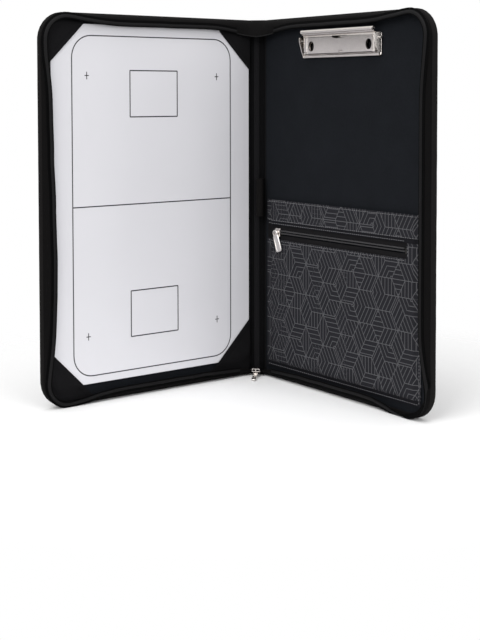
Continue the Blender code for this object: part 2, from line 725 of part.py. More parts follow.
def cloth_sheet(u_steps, z_steps, thick, rise, has_cell):
    """A cloth of even thickness on a grid, with its underside at rise(u, z)."""
    bm = bmesh.new()
    grids = []
    for lift in (0, thick):
        grids.append([[bm.verts.new((u, rise(u, z) + lift, z)) for z in z_steps] for u in u_steps])
    sides = {}
    for i in range(len(u_steps) - 1):
        for j in range(len(z_steps) - 1):
            if not has_cell(u_steps[i], z_steps[j]):
                continue
            corners = [(i, j), (i + 1, j), (i + 1, j + 1), (i, j + 1)]
            for grid in grids:
                bm.faces.new([grid[a][b] for a, b in corners])
            for start, stop in zip(corners, corners[1:] + corners[:1]):
                edge = frozenset((start, stop))
                sides[edge] = None if edge in sides else (start, stop)
    for pair in sides.values():
        if pair:
            (a, b), (c, d) = pair
            bm.faces.new((grids[0][a][b], grids[0][c][d], grids[1][c][d], grids[1][a][b]))
    loose = [vert for vert in bm.verts if not vert.link_faces]
    bmesh.ops.delete(bm, geom=loose, context="VERTS")
    return bm


def pocket_rise(u, z):
    """Height of the pocket cloth's underside: sewn flat at its edges and full in the middle."""
    start, stop = pocket_edges()
    on_slope = min(u - start - POCKET_FOLD_FLANGE, stop - POCKET_FLANGE - u,
                   z - POCKET_BOTTOM_Z - POCKET_FLANGE)
    share = on_slope / POCKET_SLOPE
    return GAP + (POCKET_RISE - GAP) * min(max(share, 0), 1)


def pocket_u_steps():
    start, stop = pocket_edges()
    window_end = COVER_WIDTH - WINDOW_OUTER_INSET
    return sorted([start, start + POCKET_FOLD_FLANGE, start + POCKET_FOLD_FLANGE + POCKET_SLOPE,
                   window_end, stop - POCKET_FLANGE - POCKET_SLOPE, stop - POCKET_FLANGE, stop])


def pocket_cloths(frame):
    """The band above the zip and the panel below it, which is carried up past the zip's end."""
    window_end = COVER_WIDTH - WINDOW_OUTER_INSET
    band = cloth_sheet(pocket_u_steps(), [WINDOW_TOP_Z, POCKET_HEM_Z], POCKET_CLOTH, pocket_rise,
                       lambda u, z: True)
    add_object("pocket_band", band, frame, "pattern_cloth")
    flat_top = POCKET_BOTTOM_Z + POCKET_FLANGE
    z_steps = [POCKET_BOTTOM_Z, flat_top, flat_top + POCKET_SLOPE, WINDOW_BOTTOM_Z,
               WINDOW_TOP_Z - GAP]
    panel = cloth_sheet(pocket_u_steps(), z_steps, POCKET_CLOTH, pocket_rise,
                        lambda u, z: z < WINDOW_BOTTOM_Z or u >= window_end)
    add_object("pocket_panel", panel, frame, "pattern_cloth")


def pocket_tape(side, seam):
    """One tape: sewn flat near the fold, then raised, and lapped under its cloth along the seam."""
    fold_edge, _ = pocket_edges()
    start = fold_edge + SMALL_TAPE_START
    lap_start = fold_edge + POCKET_FOLD_FLANGE + POCKET_SLOPE
    coil_room = POCKET_STOP_U - GAP
    middle = COIL_CENTRE_Z + side * GAP / 2
    inner = COIL_CENTRE_Z + side * (COIL_SLIT / 2 + COIL_WIDTH + GAP)
    inside_seam = seam - side * GAP
    u_steps = [start, start + SMALL_TAPE_RAMP, lap_start, coil_room, COVER_WIDTH - WINDOW_OUTER_INSET]
    z_steps = sorted([middle, inner, inside_seam, seam + side * SMALL_TAPE_LAP])

    def rise(u, z):
        share = (u - start - SMALL_TAPE_RAMP) / (lap_start - start - SMALL_TAPE_RAMP)
        return GAP + (SMALL_TAPE_RISE - GAP) * min(max(share, 0), 1)

    def has_cell(u, z):
        lower_edges = z_steps if side > 0 else z_steps[::-1][1:]
        row = lower_edges.index(z)
        return (row == 1) or (row == 0 and u < coil_room) or (row == 2 and u >= lap_start)

    return cloth_sheet(u_steps, z_steps, SMALL_TAPE_THICK, rise, has_cell)


def pocket_zip(frame):
    """Tapes lapped under the cloths, two rows of coil with a slit between, and the end stops."""
    coil_low = COIL_CENTRE_W - COIL_THICK / 2
    coil_high = COIL_CENTRE_W + COIL_THICK / 2
    coil_start = POCKET_STOP_U + STOP_LENGTH + GAP
    coil_end = COVER_WIDTH - WINDOW_OUTER_INSET - STOP_LENGTH - 2 * GAP
    for name, side, seam in (("upper", 1, WINDOW_TOP_Z), ("lower", -1, WINDOW_BOTTOM_Z)):
        inner = COIL_CENTRE_Z + side * COIL_SLIT / 2
        outer = inner + side * COIL_WIDTH
        add_object("pocket_tape_" + name, pocket_tape(side, seam), frame, "zip_cloth")
        coil = rectangle(coil_start, coil_end, inner, outer)
        add_object("pocket_coil_" + name, prism(coil, coil_low, coil_high), frame, "zip_plastic")
    reach = COIL_SLIT / 2 + COIL_WIDTH
    for name, stop_start in (("fold", POCKET_STOP_U), ("rim", coil_end + GAP)):
        stop = rectangle(stop_start, stop_start + STOP_LENGTH,
                         COIL_CENTRE_Z - reach, COIL_CENTRE_Z + reach)
        add_object("pocket_stop_" + name, prism(stop, coil_low, coil_high), frame, "nickel")


def slider_section():
    """End view of a slider as (across, up): two plates joined by a wedge, with lips at the sides."""
    half = SLIDER_CHANNEL / 2
    top = half + SLIDER_PLATE
    slot = SLIDER_SLOT / 2
    lip = SLIDER_HALF_WIDTH - SLIDER_LIP
    wedge = SLIDER_WEDGE / 2
    right = [(SLIDER_HALF_WIDTH, -top), (SLIDER_HALF_WIDTH, -slot), (lip, -slot), (lip, -half),
             (wedge, -half), (wedge, half), (lip, half), (lip, slot), (SLIDER_HALF_WIDTH, slot),
             (SLIDER_HALF_WIDTH, top)]
    return right + [(-across, up) for across, up in reversed(right)]


def pull_level():
    """Height of the pull's middle above the slider's middle."""
    return SLIDER_CHANNEL / 2 + SLIDER_PLATE + GAP + PULL_THICK / 2


def crown_outline():
    """Side view of the slider's crown as (along, up): two legs and a bar with an eye below it."""
    foot = SLIDER_CHANNEL / 2 + SLIDER_PLATE / 2
    eye = pull_level() + PULL_THICK / 2 + GAP
    top = eye + CROWN_BAR
    inner = CROWN_SPAN / 2 - CROWN_LEG / 2
    outer = CROWN_SPAN / 2 + CROWN_LEG / 2
    chamfer = CROWN_BAR * 0.6
    return [(-outer, foot), (-outer, top - chamfer), (-outer + chamfer, top), (outer - chamfer, top),
            (outer, top - chamfer), (outer, foot), (inner, foot), (inner, eye), (-inner, eye),
            (-inner, foot)]


def zip_slider(name, frame, centre, to_frame):
    """A slider whose along, across and up directions to_frame turns into (u, w, z) steps."""
    def station(along):
        return lambda across, up: Vector(centre) + to_frame(along, across, up)

    def crown_station(across):
        return lambda along, up: Vector(centre) + to_frame(along, across, up)

    half = SLIDER_LENGTH / 2
    slider = add_object(name, sweep(slider_section(), [station(-half), station(half)]), frame,
                        "nickel", origin=centre)
    crown = sweep(crown_outline(), [crown_station(-CROWN_LEG / 2), crown_station(CROWN_LEG / 2)])
    combine(slider, add_helper(name + "_crown", crown, frame), "UNION")


def pull_outline(top_width, waist_width, end_width):
    """A pull seen from above as (down, across), measured from the centre of its bar."""
    top = -PULL_BAR / 2
    neck = PULL_BAR / 2 + PULL_HOLE_LENGTH + PULL_BAR
    bottom = top + PULL_LENGTH
    round_start = bottom - end_width / 2
    side = [(top, top_width / 2), (neck, top_width / 2), (neck + 2 * MM, waist_width / 2),
            (round_start - 3 * MM, end_width / 2)]
    side += arc((round_start, 0), end_width / 2, 90, 0, SMALL_CORNER_STEPS)
    return side + [(down, -across) for down, across in reversed(side[:-1])]


def zip_pull(name, frame, origin, bar_centre, widths, hole_width, to_frame):
    """A flat pull with an eye next to its bar. to_frame turns (down, across, up) into a step."""
    def station(up):
        return lambda down, across: Vector(bar_centre) + to_frame(down, across, up)

    half = PULL_THICK / 2
    leaf = sweep(pull_outline(*widths), [station(-half), station(half)])
    pull = add_object(name, leaf, frame, "nickel", origin=origin)
    eye = [(PULL_BAR / 2, -hole_width / 2), (PULL_BAR / 2 + PULL_HOLE_LENGTH, -hole_width / 2),
           (PULL_BAR / 2 + PULL_HOLE_LENGTH, hole_width / 2), (PULL_BAR / 2, hole_width / 2)]
    cutter = sweep(eye, [station(-PULL_THICK), station(PULL_THICK)])
    helper = add_helper(name + "_eye", cutter, frame, origin=origin)
    combine(pull, helper, "DIFFERENCE")
    return pull, helper


def pocket_slider(frame):
    """The pocket's slider parked at the fold end, its pull round the near leg and leaning to the rim."""
    def leaning(down, across, up):
        side, drop = math.sin(PULL_LEAN), math.cos(PULL_LEAN)
        return Vector((across * drop + down * side, up, across * side - down * drop))

    centre = (POCKET_STOP_U + STOP_LENGTH + GAP + SLIDER_LENGTH / 2, COIL_CENTRE_W, COIL_CENTRE_Z)
    zip_slider("pocket_slider", frame, centre, lambda along, across, up: Vector((along, up, across)))
    leg = Vector(centre) + Vector((-CROWN_SPAN / 2, pull_level(), 0))
    bar = leg + leaning(-PULL_BAR / 2 - PULL_HOLE_LENGTH * 0.38, 0, 0)
    widths = (PULL_TOP_WIDTH, PULL_WAIST_WIDTH, PULL_END_WIDTH)
    zip_pull("pocket_pull", frame, tuple(leg), tuple(bar), widths, PULL_HOLE_WIDTH, leaning)


def main_slider(frame):
    """The main slider parked at the bottom of the spine, its crown below and its pull forward."""
    start = ZIP_EDGE_RISE + GAP + ZIP_TAPE_THICK / 2
    centre = (0, start + SLIDER_LENGTH / 2, MAIN_SLIDER_Z)
    zip_slider("main_slider", frame, centre, lambda along, across, up: Vector((across, along, -up)))
    back = CROWN_SPAN / 2 - CROWN_LEG / 2 - GAP - PULL_BAR / 2
    bar = Vector(centre) + Vector((0, back, -pull_level()))
    widths = (MAIN_PULL_TOP_WIDTH, MAIN_PULL_WAIST_WIDTH, MAIN_PULL_END_WIDTH)
    pull, eye = zip_pull("main_pull", frame, tuple(bar), tuple(bar), widths, MAIN_PULL_HOLE_WIDTH,
                         lambda down, across, up: Vector((across, down, -up)))
    for piece in (pull, eye):
        piece.rotation_euler = (frame.side * -MAIN_PULL_DROOP, 0, 0)


def spine_body(frame):
    half = SPINE_WIDTH / 2 - FOLD_CLEAR
    core = SPINE_WIDTH / 2 - SPINE_CORE_INSET
    cloth_layers("spine", frame, rectangle(-half, half, CLOTH_INSET, COVER_HEIGHT - CLOTH_INSET),
                 rectangle(-core, core, CORE_INSET, COVER_HEIGHT - CORE_INSET))
    for name, at_top in (("top", True), ("bottom", False)):
        stations = spine_end_stations(at_top)
        add_object("spine_binding_" + name, sweep(binding_section(), stations), frame, "binding_cloth")
        add_object("spine_zip_web_" + name, sweep(zip_tape_section(), stations), frame, "zip_cloth")


def fold_seams(frame):
    """A stitched bead on each fold axis, which the lining of the cover and the spine meet."""
    radius = FOLD_CLEAR - GAP
    for name, side in (("front", -1), ("back", 1)):
        bead = arc((side * SPINE_WIDTH / 2, 0), radius, 0, 360, ROUND_SIDES // 2)[:-1]
        stations = [lambda u, w: (u, w, CLOTH_INSET),
                    lambda u, w: (u, w, COVER_HEIGHT - CLOTH_INSET)]
        add_object(name + "_fold_seam", sweep(bead, stations), frame, "black_cloth")


def fold_cloths(frame):
    """The outer cloth bent round each fold, from the spine's shell to the cover's shell."""
    middle = (SHELL_FACE + SHELL_BACK) / 2
    tail = FOLD_CLEAR - GAP
    turn = math.degrees(math.pi / 2 - WING_ANGLE)
    bend = arc((0, 0), -middle, 90, 90 - turn, FOLD_STEPS)
    cover_way = Vector((math.sin(WING_ANGLE), -math.cos(WING_ANGLE))) * tail
    line = [(-tail, -middle)] + bend + [(bend[-1][0] + cover_way.x, bend[-1][1] + cover_way.y)]
    for name, side in (("front", -1), ("back", 1)):
        section = [(side * (SPINE_WIDTH / 2 + a), -b) for a, b in strip_section(line, SHELL_THICK)]
        stations = [lambda u, w: (u, w, CLOTH_INSET),
                    lambda u, w: (u, w, COVER_HEIGHT - CLOTH_INSET)]
        add_object(name + "_fold_cloth", sweep(section, stations), frame, "cover_cloth")


def loop_outline(inset):
    """A rounded oblong seen along z, as (u, w) points."""
    stop = SPINE_WIDTH / 2 - LOOP_FOLD_INSET
    start = stop - LOOP_WIDTH
    outline = rounded_rectangle(start, stop, GAP, GAP + LOOP_DEPTH, LOOP_WIDTH / 2 * 0.98)
    centre = Vector(((start + stop) / 2, GAP + LOOP_DEPTH / 2))
    scale = Vector((1 - 2 * inset / LOOP_WIDTH, 1 - 2 * inset / LOOP_DEPTH))
    return [tuple(centre + (Vector(point) - centre) * scale) for point in outline]


def pen_loop(frame):
    """An elastic sleeve sewn upright to the spine's lining, open at both ends."""
    def level(z):
        return lambda u, w: (u, w, z)

    top = LOOP_BOTTOM_Z + LOOP_HEIGHT
    sleeve = sweep(loop_outline(0), [level(LOOP_BOTTOM_Z), level(top)])
    loop = add_object("pen_loop", sleeve, frame, "elastic")
    bore = sweep(loop_outline(LOOP_WALL), [level(LOOP_BOTTOM_Z - GAP), level(top + GAP)])
    combine(loop, add_helper("pen_loop_bore", bore, frame), "DIFFERENCE")


def build():
    clear_scene()
    fold_turn = math.pi / 2
    spine = make_frame("spine_frame", (0, SPINE_Y, 0), 0, -1)
    front = make_frame("front_cover_frame", (-SPINE_WIDTH / 2, SPINE_Y, 0), -fold_turn - WING_ANGLE, 1)
    back = make_frame("back_cover_frame", (SPINE_WIDTH / 2, SPINE_Y, 0), WING_ANGLE - fold_turn, -1)
    spine_body(spine)
    fold_seams(spine)
    fold_cloths(spine)
    pen_loop(spine)
    main_slider(spine)
    cover_body("front", front)
    tactics_board(front)
    corner_pockets(front)
    outer_trim(front)
    back_layers = cover_body("back", back)
    paper_clip(back, back_layers)
    pocket_cloths(back)
    pocket_zip(back)
    pocket_slider(back)


build()
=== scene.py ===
"""Looks of the zip-round tactics folder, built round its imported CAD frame.

Places are given as (u, w, z) on a cover or the spine: u runs from the fold along the cloth, w is
the height above the lining towards the reader, and z is up. Lengths are in metres.
"""

import math

import bmesh
import bpy
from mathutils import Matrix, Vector, noise


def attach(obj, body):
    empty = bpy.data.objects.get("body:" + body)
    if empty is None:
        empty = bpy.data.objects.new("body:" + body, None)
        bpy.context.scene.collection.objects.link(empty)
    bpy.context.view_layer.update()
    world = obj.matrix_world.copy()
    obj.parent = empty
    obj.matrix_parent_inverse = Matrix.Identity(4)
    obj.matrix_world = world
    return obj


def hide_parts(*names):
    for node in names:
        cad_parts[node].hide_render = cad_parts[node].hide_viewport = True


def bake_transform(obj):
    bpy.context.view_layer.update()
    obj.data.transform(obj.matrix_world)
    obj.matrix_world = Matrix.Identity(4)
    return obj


MM = 0.001
WIDTH = 234 * MM
HEIGHT = 350 * MM
CORNER = 25 * MM
SPINE = 16 * MM
HALF_OPEN = math.radians(43.5)
SIDE, DEPTH = math.sin(HALF_OPEN), math.cos(HALF_OPEN)
SPINE_Y = (WIDTH * DEPTH + 0.9 * MM * SIDE - 5.6 * MM) / 2
STRAIGHT = WIDTH - CORNER
RIM_LINE = 9 * MM
RIM_ARC = (CORNER - RIM_LINE) * math.pi / 2
RIM_SIDE = HEIGHT - 2 * CORNER
RIM_LENGTH = 2 * STRAIGHT + 2 * RIM_ARC + RIM_SIDE

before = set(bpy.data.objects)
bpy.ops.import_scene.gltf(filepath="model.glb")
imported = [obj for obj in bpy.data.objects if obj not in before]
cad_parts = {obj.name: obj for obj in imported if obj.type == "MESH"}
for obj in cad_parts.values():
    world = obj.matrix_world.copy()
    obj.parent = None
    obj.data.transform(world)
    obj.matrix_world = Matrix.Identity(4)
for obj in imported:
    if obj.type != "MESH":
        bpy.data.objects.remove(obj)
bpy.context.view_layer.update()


class Panel:
    """A cover or the spine: where its local places are, and which body its pieces ride on."""

    def __init__(self, prefix, body, x, along, inward):
        self.prefix = prefix
        self.body = body
        self.origin = Vector((x, SPINE_Y, 0))
        self.along = Vector(along)
        self.inward = Vector(inward)

    def at(self, u, w, z):
        return self.origin + self.along * u + self.inward * w + Vector((0, 0, z))


FRONT = Panel("front", "front_cover", -SPINE / 2, (-SIDE, -DEPTH, 0), (DEPTH, -SIDE, 0))
BACK = Panel("back", "back_cover", SPINE / 2, (SIDE, -DEPTH, 0), (-DEPTH, -SIDE, 0))
MIDDLE = Panel("spine", "spine", 0, (1, 0, 0), (0, -1, 0))


# Materials

class Level:
    """A number that a node puts out, so that node maths can be written as sums and products."""

    def __init__(self, tree, socket):
        self.tree = tree
        self.socket = socket

    def to(self, operation, b=0.0, c=0.0):
        made = add_node(self.tree, "ShaderNodeMath", {0: self, 1: b, 2: c}, operation=operation)
        return Level(self.tree, made.outputs[0])

    def __add__(self, other):
        return self.to("ADD", other)

    def __sub__(self, other):
        return self.to("SUBTRACT", other)

    def __mul__(self, other):
        return self.to("MULTIPLY", other)


def add_node(tree, kind, inputs=(), **settings):
    made = tree.nodes.new(kind)
    for key, value in settings.items():
        setattr(made, key, value)
    for key, value in dict(inputs).items():
        value = value.socket if isinstance(value, Level) else value
        if isinstance(value, bpy.types.NodeSocket):
            tree.links.new(value, made.inputs[key])
        else:
            made.inputs[key].default_value = value
    return made


def rgb(colour):
    return (*colour, 1.0)


def start_material(name, roughness, metallic=0.0, specular=0.5):
    mat = bpy.data.materials.new(name)
    mat.use_nodes = True
    shader = mat.node_tree.nodes["Principled BSDF"]
    shader.inputs["Roughness"].default_value = roughness
    shader.inputs["Metallic"].default_value = metallic
    shader.inputs["Specular IOR Level"].default_value = specular
    return mat, mat.node_tree


def feed(tree, value, entry):
    """Link a node's number or colour to an entry of the material's shader."""
    tree.links.new(value, tree.nodes["Principled BSDF"].inputs[entry])


def paint(tree, colour, level):
    """Base colour, made lighter or darker by a level."""
    shade = add_node(tree, "ShaderNodeVectorMath", {0: colour, "Scale": level}, operation="SCALE")
    feed(tree, shade.outputs[0], "Base Color")


def emboss(tree, height, strength, distance):
    relief = add_node(tree, "ShaderNodeBump", {"Height": height, "Strength": strength, "Distance": distance})
    feed(tree, relief.outputs[0], "Normal")


def object_place(tree):
    return add_node(tree, "ShaderNodeTexCoord").outputs["Object"]


def cloud(tree, place, scale, detail):
    """Noise from 0 to 1 that is fixed to the piece."""
    made = add_node(tree, "ShaderNodeTexNoise", {"Vector": place, "Scale": scale, "Detail": detail})
    return Level(tree, made.outputs[0])


def uv_place(tree):
    """Distances along and across the cloth, from UVs kept in millimetres."""
    parts = add_node(tree, "ShaderNodeSeparateXYZ", {0: add_node(tree, "ShaderNodeUVMap").outputs[0]})
    return Level(tree, parts.outputs[0]), Level(tree, parts.outputs[1])


def uv_waves(tree, pitches):
    """Sine of the distance along and across the cloth, for a thread pitch each way."""
    return [(place * (math.pi / pitch)).to("SINE") for place, pitch in zip(uv_place(tree), pitches)]


def weave_height(tree, pitches):
    """Plain weave: threads one way show where the two waves agree, and the other way elsewhere."""
    x, y = uv_waves(tree, pitches)
    over = (x * y).to("GREATER_THAN", 0.0)
    return x.to("ABSOLUTE") * over + y.to("ABSOLUTE") * over.to("MULTIPLY_ADD", -1.0, 1.0)


def rib_height(tree, pitches):
    """Ribs across a ribbon, crossed by its fine warp threads."""
    x, y = uv_waves(tree, pitches)
    return x.to("ABSOLUTE") + y.to("ABSOLUTE") * WARP_SHARE


CLOTH_ROUGHNESS = 0.85
CLOTH_SPECULAR = 0.06
WARP_SHARE = 0.4
FUZZ = 0.25
FUZZ_SCALE, SLUB_SCALE, BLOTCH_SCALE = 2600.0, 520.0, 38.0
CLOTH_RELIEF = 0.55
PRINT_SHARE = 0.9
SCUFF = 0.05


def cloth(name, colour, contrast=0.35, pitch=(0.7, 0.7), ribs=False, depth=0.12, blotch=0.12, grain=0.3):
    """Woven cloth: thread relief with painted shade in the dips between threads, grain, and slow colour
    change. Lengths are in millimetres.
    """
    mat, tree = start_material(name, CLOTH_ROUGHNESS, specular=CLOTH_SPECULAR)
    height = rib_height(tree, pitch) if ribs else weave_height(tree, pitch)
    place = object_place(tree)
    fuzz = cloud(tree, place, FUZZ_SCALE, 1.0)
    # The weave height darkens the colour in the dips between threads (painted shade); blotches, fuzz and
    # grain are tone that differs at random.
    level = height * contrast + cloud(tree, place, BLOTCH_SCALE, 3.0) * (2 * blotch) + fuzz * FUZZ
    level = level + cloud(tree, place, SLUB_SCALE, 2.0) * grain
    ramp = add_node(tree, "ShaderNodeMapRange",
                    {"Value": level, "From Min": 0.0, "From Max": contrast + 2 * blotch + FUZZ + grain,
                     "To Min": 0.5, "To Max": 1.5})
    paint(tree, colour, ramp.outputs[0])
    emboss(tree, height + fuzz * 0.5, CLOTH_RELIEF, depth * MM)
    return mat


def pick(tree, test, a, b):
    """a where test is 0 and b where it is 1."""
    return Level(tree, add_node(tree, "ShaderNodeMix", {"Factor": test, "A": a, "B": b}).outputs[0])


def lattice_offset(value, size, shift):
    """Distance from the nearest point of a row of points spaced by size."""
    return (value + size * (0.5 + shift)).to("FLOORED_MODULO", size) - size / 2


def block_lines(tree, x, y, side, half_width):
    """1 on the outlines and hatching of a grid of six-sided blocks, each cut into three lozenges."""
    wide, high = 3 * side, math.sqrt(3) * side
    hatch_gap, nest_gap = high / 14, high / 12
    spots = [(lattice_offset(x, wide, shift), lattice_offset(y, high, shift)) for shift in (0, 0.5)]
    reach = [a * a + b * b for a, b in spots]
    nearer = reach[1].to("LESS_THAN", reach[0])
    dx, dy = [pick(tree, nearer, first, second) for first, second in zip(*spots)]
    block = add_node(tree, "ShaderNodeCombineXYZ", {0: (x - dx).to("ROUND"), 1: (y - dy).to("ROUND")})
    chance = add_node(tree, "ShaderNodeTexWhiteNoise", {"Vector": block.outputs[0]}).outputs["Value"]
    hatches = []
    for way in map(math.radians, (0, 60, 90, 120)):
        level = dx.to("MULTIPLY_ADD", -math.sin(way), dy * math.cos(way))
        hatches.append(level.to("PINGPONG", hatch_gap).to("LESS_THAN", half_width))
    slant = 1 / math.sin(math.radians(120))
    total = 0.0
    for number, turn in enumerate((0, 120, 240)):
        first, second = math.radians(turn), math.radians(turn + 120)
        along = dx.to("MULTIPLY_ADD", math.sin(second) * slant, dy * (-math.cos(second) * slant))
        across = dx.to("MULTIPLY_ADD", -math.sin(first) * slant, dy * (math.cos(first) * slant))
        low = along.to("MINIMUM", across)
        edge = low.to("LESS_THAN", half_width * slant)
        rim = along.to("MAXIMUM", across).to("GREATER_THAN", side - half_width * slant)
        share = Level(tree, chance).to("MULTIPLY_ADD", 7.0, 0.37 * number).to("FRACT")
        choice = (share * float(len(hatches) + 1)).to("FLOOR")
        nested = low.to("PINGPONG", nest_gap).to("LESS_THAN", half_width * slant)
        lines = 0.0
        for index, field in enumerate(hatches + [nested]):
            lines = field.to("MULTIPLY_ADD", choice.to("COMPARE", float(index), 0.1), lines)
        drawn = edge.to("MAXIMUM", rim).to("MAXIMUM", lines)
        total = drawn.to("MULTIPLY_ADD", low.to("GREATER_THAN", 0.0), total)
    return total.to("MINIMUM", 1.0)


def pattern_cloth(name, ground, line, side=17.0, half_width=0.28):
    """Cloth printed with a grid of hatched lozenges. Lengths are in millimetres."""
    mat, tree = start_material(name, CLOTH_ROUGHNESS, specular=CLOTH_SPECULAR)
    drawn = block_lines(tree, *uv_place(tree), side, half_width)
    height = weave_height(tree, (0.55, 0.55))
    shade = add_node(tree, "ShaderNodeMix", {"Factor": drawn * PRINT_SHARE, 6: rgb(ground), 7: rgb(line)},
                     data_type="RGBA")
    # The weave height darkens the print in the dips between threads: painted shade.
    paint(tree, shade.outputs[2], height * 0.35 + 0.8)
    emboss(tree, height, 0.5, 0.08 * MM)
    return mat


def metal(name, colour, roughness):
    """Plated sheet metal with faint clouding and fine scuffs."""
    mat, tree = start_material(name, roughness, metallic=1.0)
    place = object_place(tree)
    paint(tree, colour, cloud(tree, place, 120.0, 4.0) * 0.2 + 0.9)
    streak = add_node(tree, "ShaderNodeMapping", {"Vector": place, "Scale": (260.0, 260.0, 2600.0)})
    gloss = cloud(tree, streak.outputs[0], 1.0, 2.0) * (2 * SCUFF) + (roughness - SCUFF)
    feed(tree, gloss.socket, "Roughness")
    return mat


def plastic(name, colour, roughness, wobble=0.0, spots=0.0, specular=0.5):
    """Moulded or sheet plastic with a faint surface unevenness."""
    mat, tree = start_material(name, roughness, specular=specular)
    level = cloud(tree, object_place(tree), 14.0, 2.0)
    paint(tree, colour, level * (2 * spots) + (1.0 - spots))
    emboss(tree, level, 1.0, wobble)
    return mat


COVER = cloth("cover_polyester", (0.027, 0.026, 0.031), pitch=(0.75, 0.75))
LINING = cloth("lining_polyester", (0.0088, 0.0100, 0.0124), pitch=(0.5, 0.5), contrast=0.25, depth=0.06,
               blotch=0.3, grain=0.6)
SPINE_CLOTH = cloth("spine_polyester", (0.0020, 0.0020, 0.0023), pitch=(0.5, 0.5), contrast=0.3)
POCKET_BLACK = cloth("corner_polyester", (0.0078, 0.0076, 0.0084), pitch=(0.5, 0.5), contrast=0.3)
BINDING = cloth("binding_ribbon", (0.0086, 0.0080, 0.0080), pitch=(1.1, 0.45), ribs=True, depth=0.15)
TAPE = cloth("zip_tape", (0.0036, 0.0033, 0.0034), pitch=(0.6, 1.0), contrast=0.4)
# Near-black cloth for the strip along the zip tape's edge: painted shade between the coil and the binding.
PAINTED_SHADE_STRIP = cloth("zip_painted_shade", (0.0004, 0.0004, 0.0005), pitch=(0.6, 1.0), contrast=0.4)
FACING = cloth("pocket_facing", (0.0100, 0.0100, 0.0122), pitch=(0.5, 0.5), contrast=0.3)
RIBBON = cloth("ribbon_webbing", (0.030, 0.029, 0.034), pitch=(1.6, 0.7), ribs=True, depth=0.2)
SPINE_RIBBON = cloth("spine_webbing", (0.0068, 0.0066, 0.0074), pitch=(1.6, 0.7), ribs=True, depth=0.2)
ELASTIC = cloth("loop_elastic", (0.0052, 0.0048, 0.0048), pitch=(0.9, 0.8), ribs=True, depth=0.2)
PATTERN = pattern_cloth("printed_polyester", (0.0190, 0.0190, 0.0225), (0.112, 0.112, 0.119))
THREAD_DARK = cloth("black_thread", (0.0045, 0.0045, 0.005), pitch=(0.3, 0.3))
THREAD_PALE = cloth("grey_thread", (0.20, 0.20, 0.21), pitch=(0.3, 0.3))
THREAD_MOTIF = cloth("motif_thread", (0.062, 0.062, 0.068), pitch=(0.3, 0.3))
BADGE = cloth("badge_twill", (0.42, 0.025, 0.025), pitch=(0.5, 0.5), contrast=0.3)
BADGE_RIM = cloth("badge_rim_thread", (0.012, 0.012, 0.013), pitch=(0.5, 0.5))
LABEL = cloth("label_satin", (0.62, 0.62, 0.62), pitch=(0.35, 0.35), contrast=0.2)
SMALL_TAPE = cloth("pocket_zip_tape", (0.0088, 0.0085, 0.0092), pitch=(0.6, 1.0), contrast=0.4)
COIL_NYLON = plastic("coil_nylon", (0.021, 0.020, 0.022), 0.45)
ZIP_BLACK = plastic("teeth_nylon", (0.0046, 0.0044, 0.0048), 0.6, specular=0.12)
BOARD = plastic("board_laminate", (0.725, 0.72, 0.755), 0.22, wobble=0.4 * MM, spots=0.02)
INK = plastic("board_ink", (0.022, 0.022, 0.026), 0.4)
NICKEL = metal("nickel_plate", (0.66, 0.62, 0.59), 0.2)
PULL_NICKEL = metal("pull_nickel", (0.84, 0.81, 0.78), 0.3)
DULL_STEEL = metal("rivet_steel", (0.05, 0.048, 0.046), 0.45)
STEEL = metal("spring_steel", (0.36, 0.35, 0.34), 0.3)
CARD = plastic("stiffener_sheet", (0.28, 0.26, 0.22), 0.8, spots=0.1)


# Mesh helpers

SHARP_ANGLE = math.radians(38)


def place_mesh(name, bm):
    """The built mesh as an object in the scene, with its normals out."""
    bmesh.ops.recalc_face_normals(bm, faces=bm.faces)
    mesh = bpy.data.meshes.new(name)
    bm.to_mesh(mesh)
    bm.free()
    piece = bpy.data.objects.new(name, mesh)
    bpy.context.scene.collection.objects.link(piece)
    return piece


def smooth_out(piece):
    piece.data.shade_smooth()
    piece.data.set_sharp_from_angle(angle=SHARP_ANGLE)


def finish_mesh(name, bm, mat, panel, replaces=()):
    """A finished piece: material, the CAD nodes it stands for, and its body."""
    piece = place_mesh(name, bm)
    smooth_out(piece)
    piece.data.materials.append(mat)
    if replaces:
        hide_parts(*replaces)
    if panel:
        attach(piece, panel.body)
    return piece


def start_mesh():
    """An empty mesh in the making, and its layer of UVs."""
    bm = bmesh.new()
    return bm, bm.loops.layers.uv.new("UVMap")


def add_rows(bm, rows):
    return [[bm.verts.new(point) for point in row] for row in rows]


def skin(bm, rows, ring=False):
    """Join closed rows of vertices into a capped tube, or round into a ring, and list its sides."""
    sides = []
    for k, (low, high) in enumerate(zip(rows, rows[1:] + rows[:1] if ring else rows[1:])):
        for i in range(len(low)):
            j = (i + 1) % len(low)
            sides.append((k, i, bm.faces.new((low[i], low[j], high[j], high[i]))))
    if not ring:
        bm.faces.new(rows[0])
        bm.faces.new(rows[-1])
    return sides


def loft(name, rows, mat, panel, replaces=(), ring=False):
    """Skin closed rows of points into a capped tube, or into a ring. UVs are in millimetres."""
    bm, uv_layer = start_mesh()
    middle = rows[len(rows) // 2]
    across = [0.0]
    for i, point in enumerate(middle):
        across.append(across[-1] + (middle[(i + 1) % len(middle)] - point).length / MM)
    run = [0.0]
    for before, after in zip(rows, rows[1:]):
        run.append(run[-1] + (sum(after, Vector()) - sum(before, Vector())).length / len(after) / MM)
    run.append(run[-1] + (run[-1] - run[-2]))
    for k, i, face in skin(bm, add_rows(bm, rows), ring):
        for corner, (a, b) in zip(face.loops, ((k, i), (k, i + 1), (k + 1, i + 1), (k + 1, i))):
            corner[uv_layer].uv = run[a], across[b]
    return finish_mesh(name, bm, mat, panel, replaces)


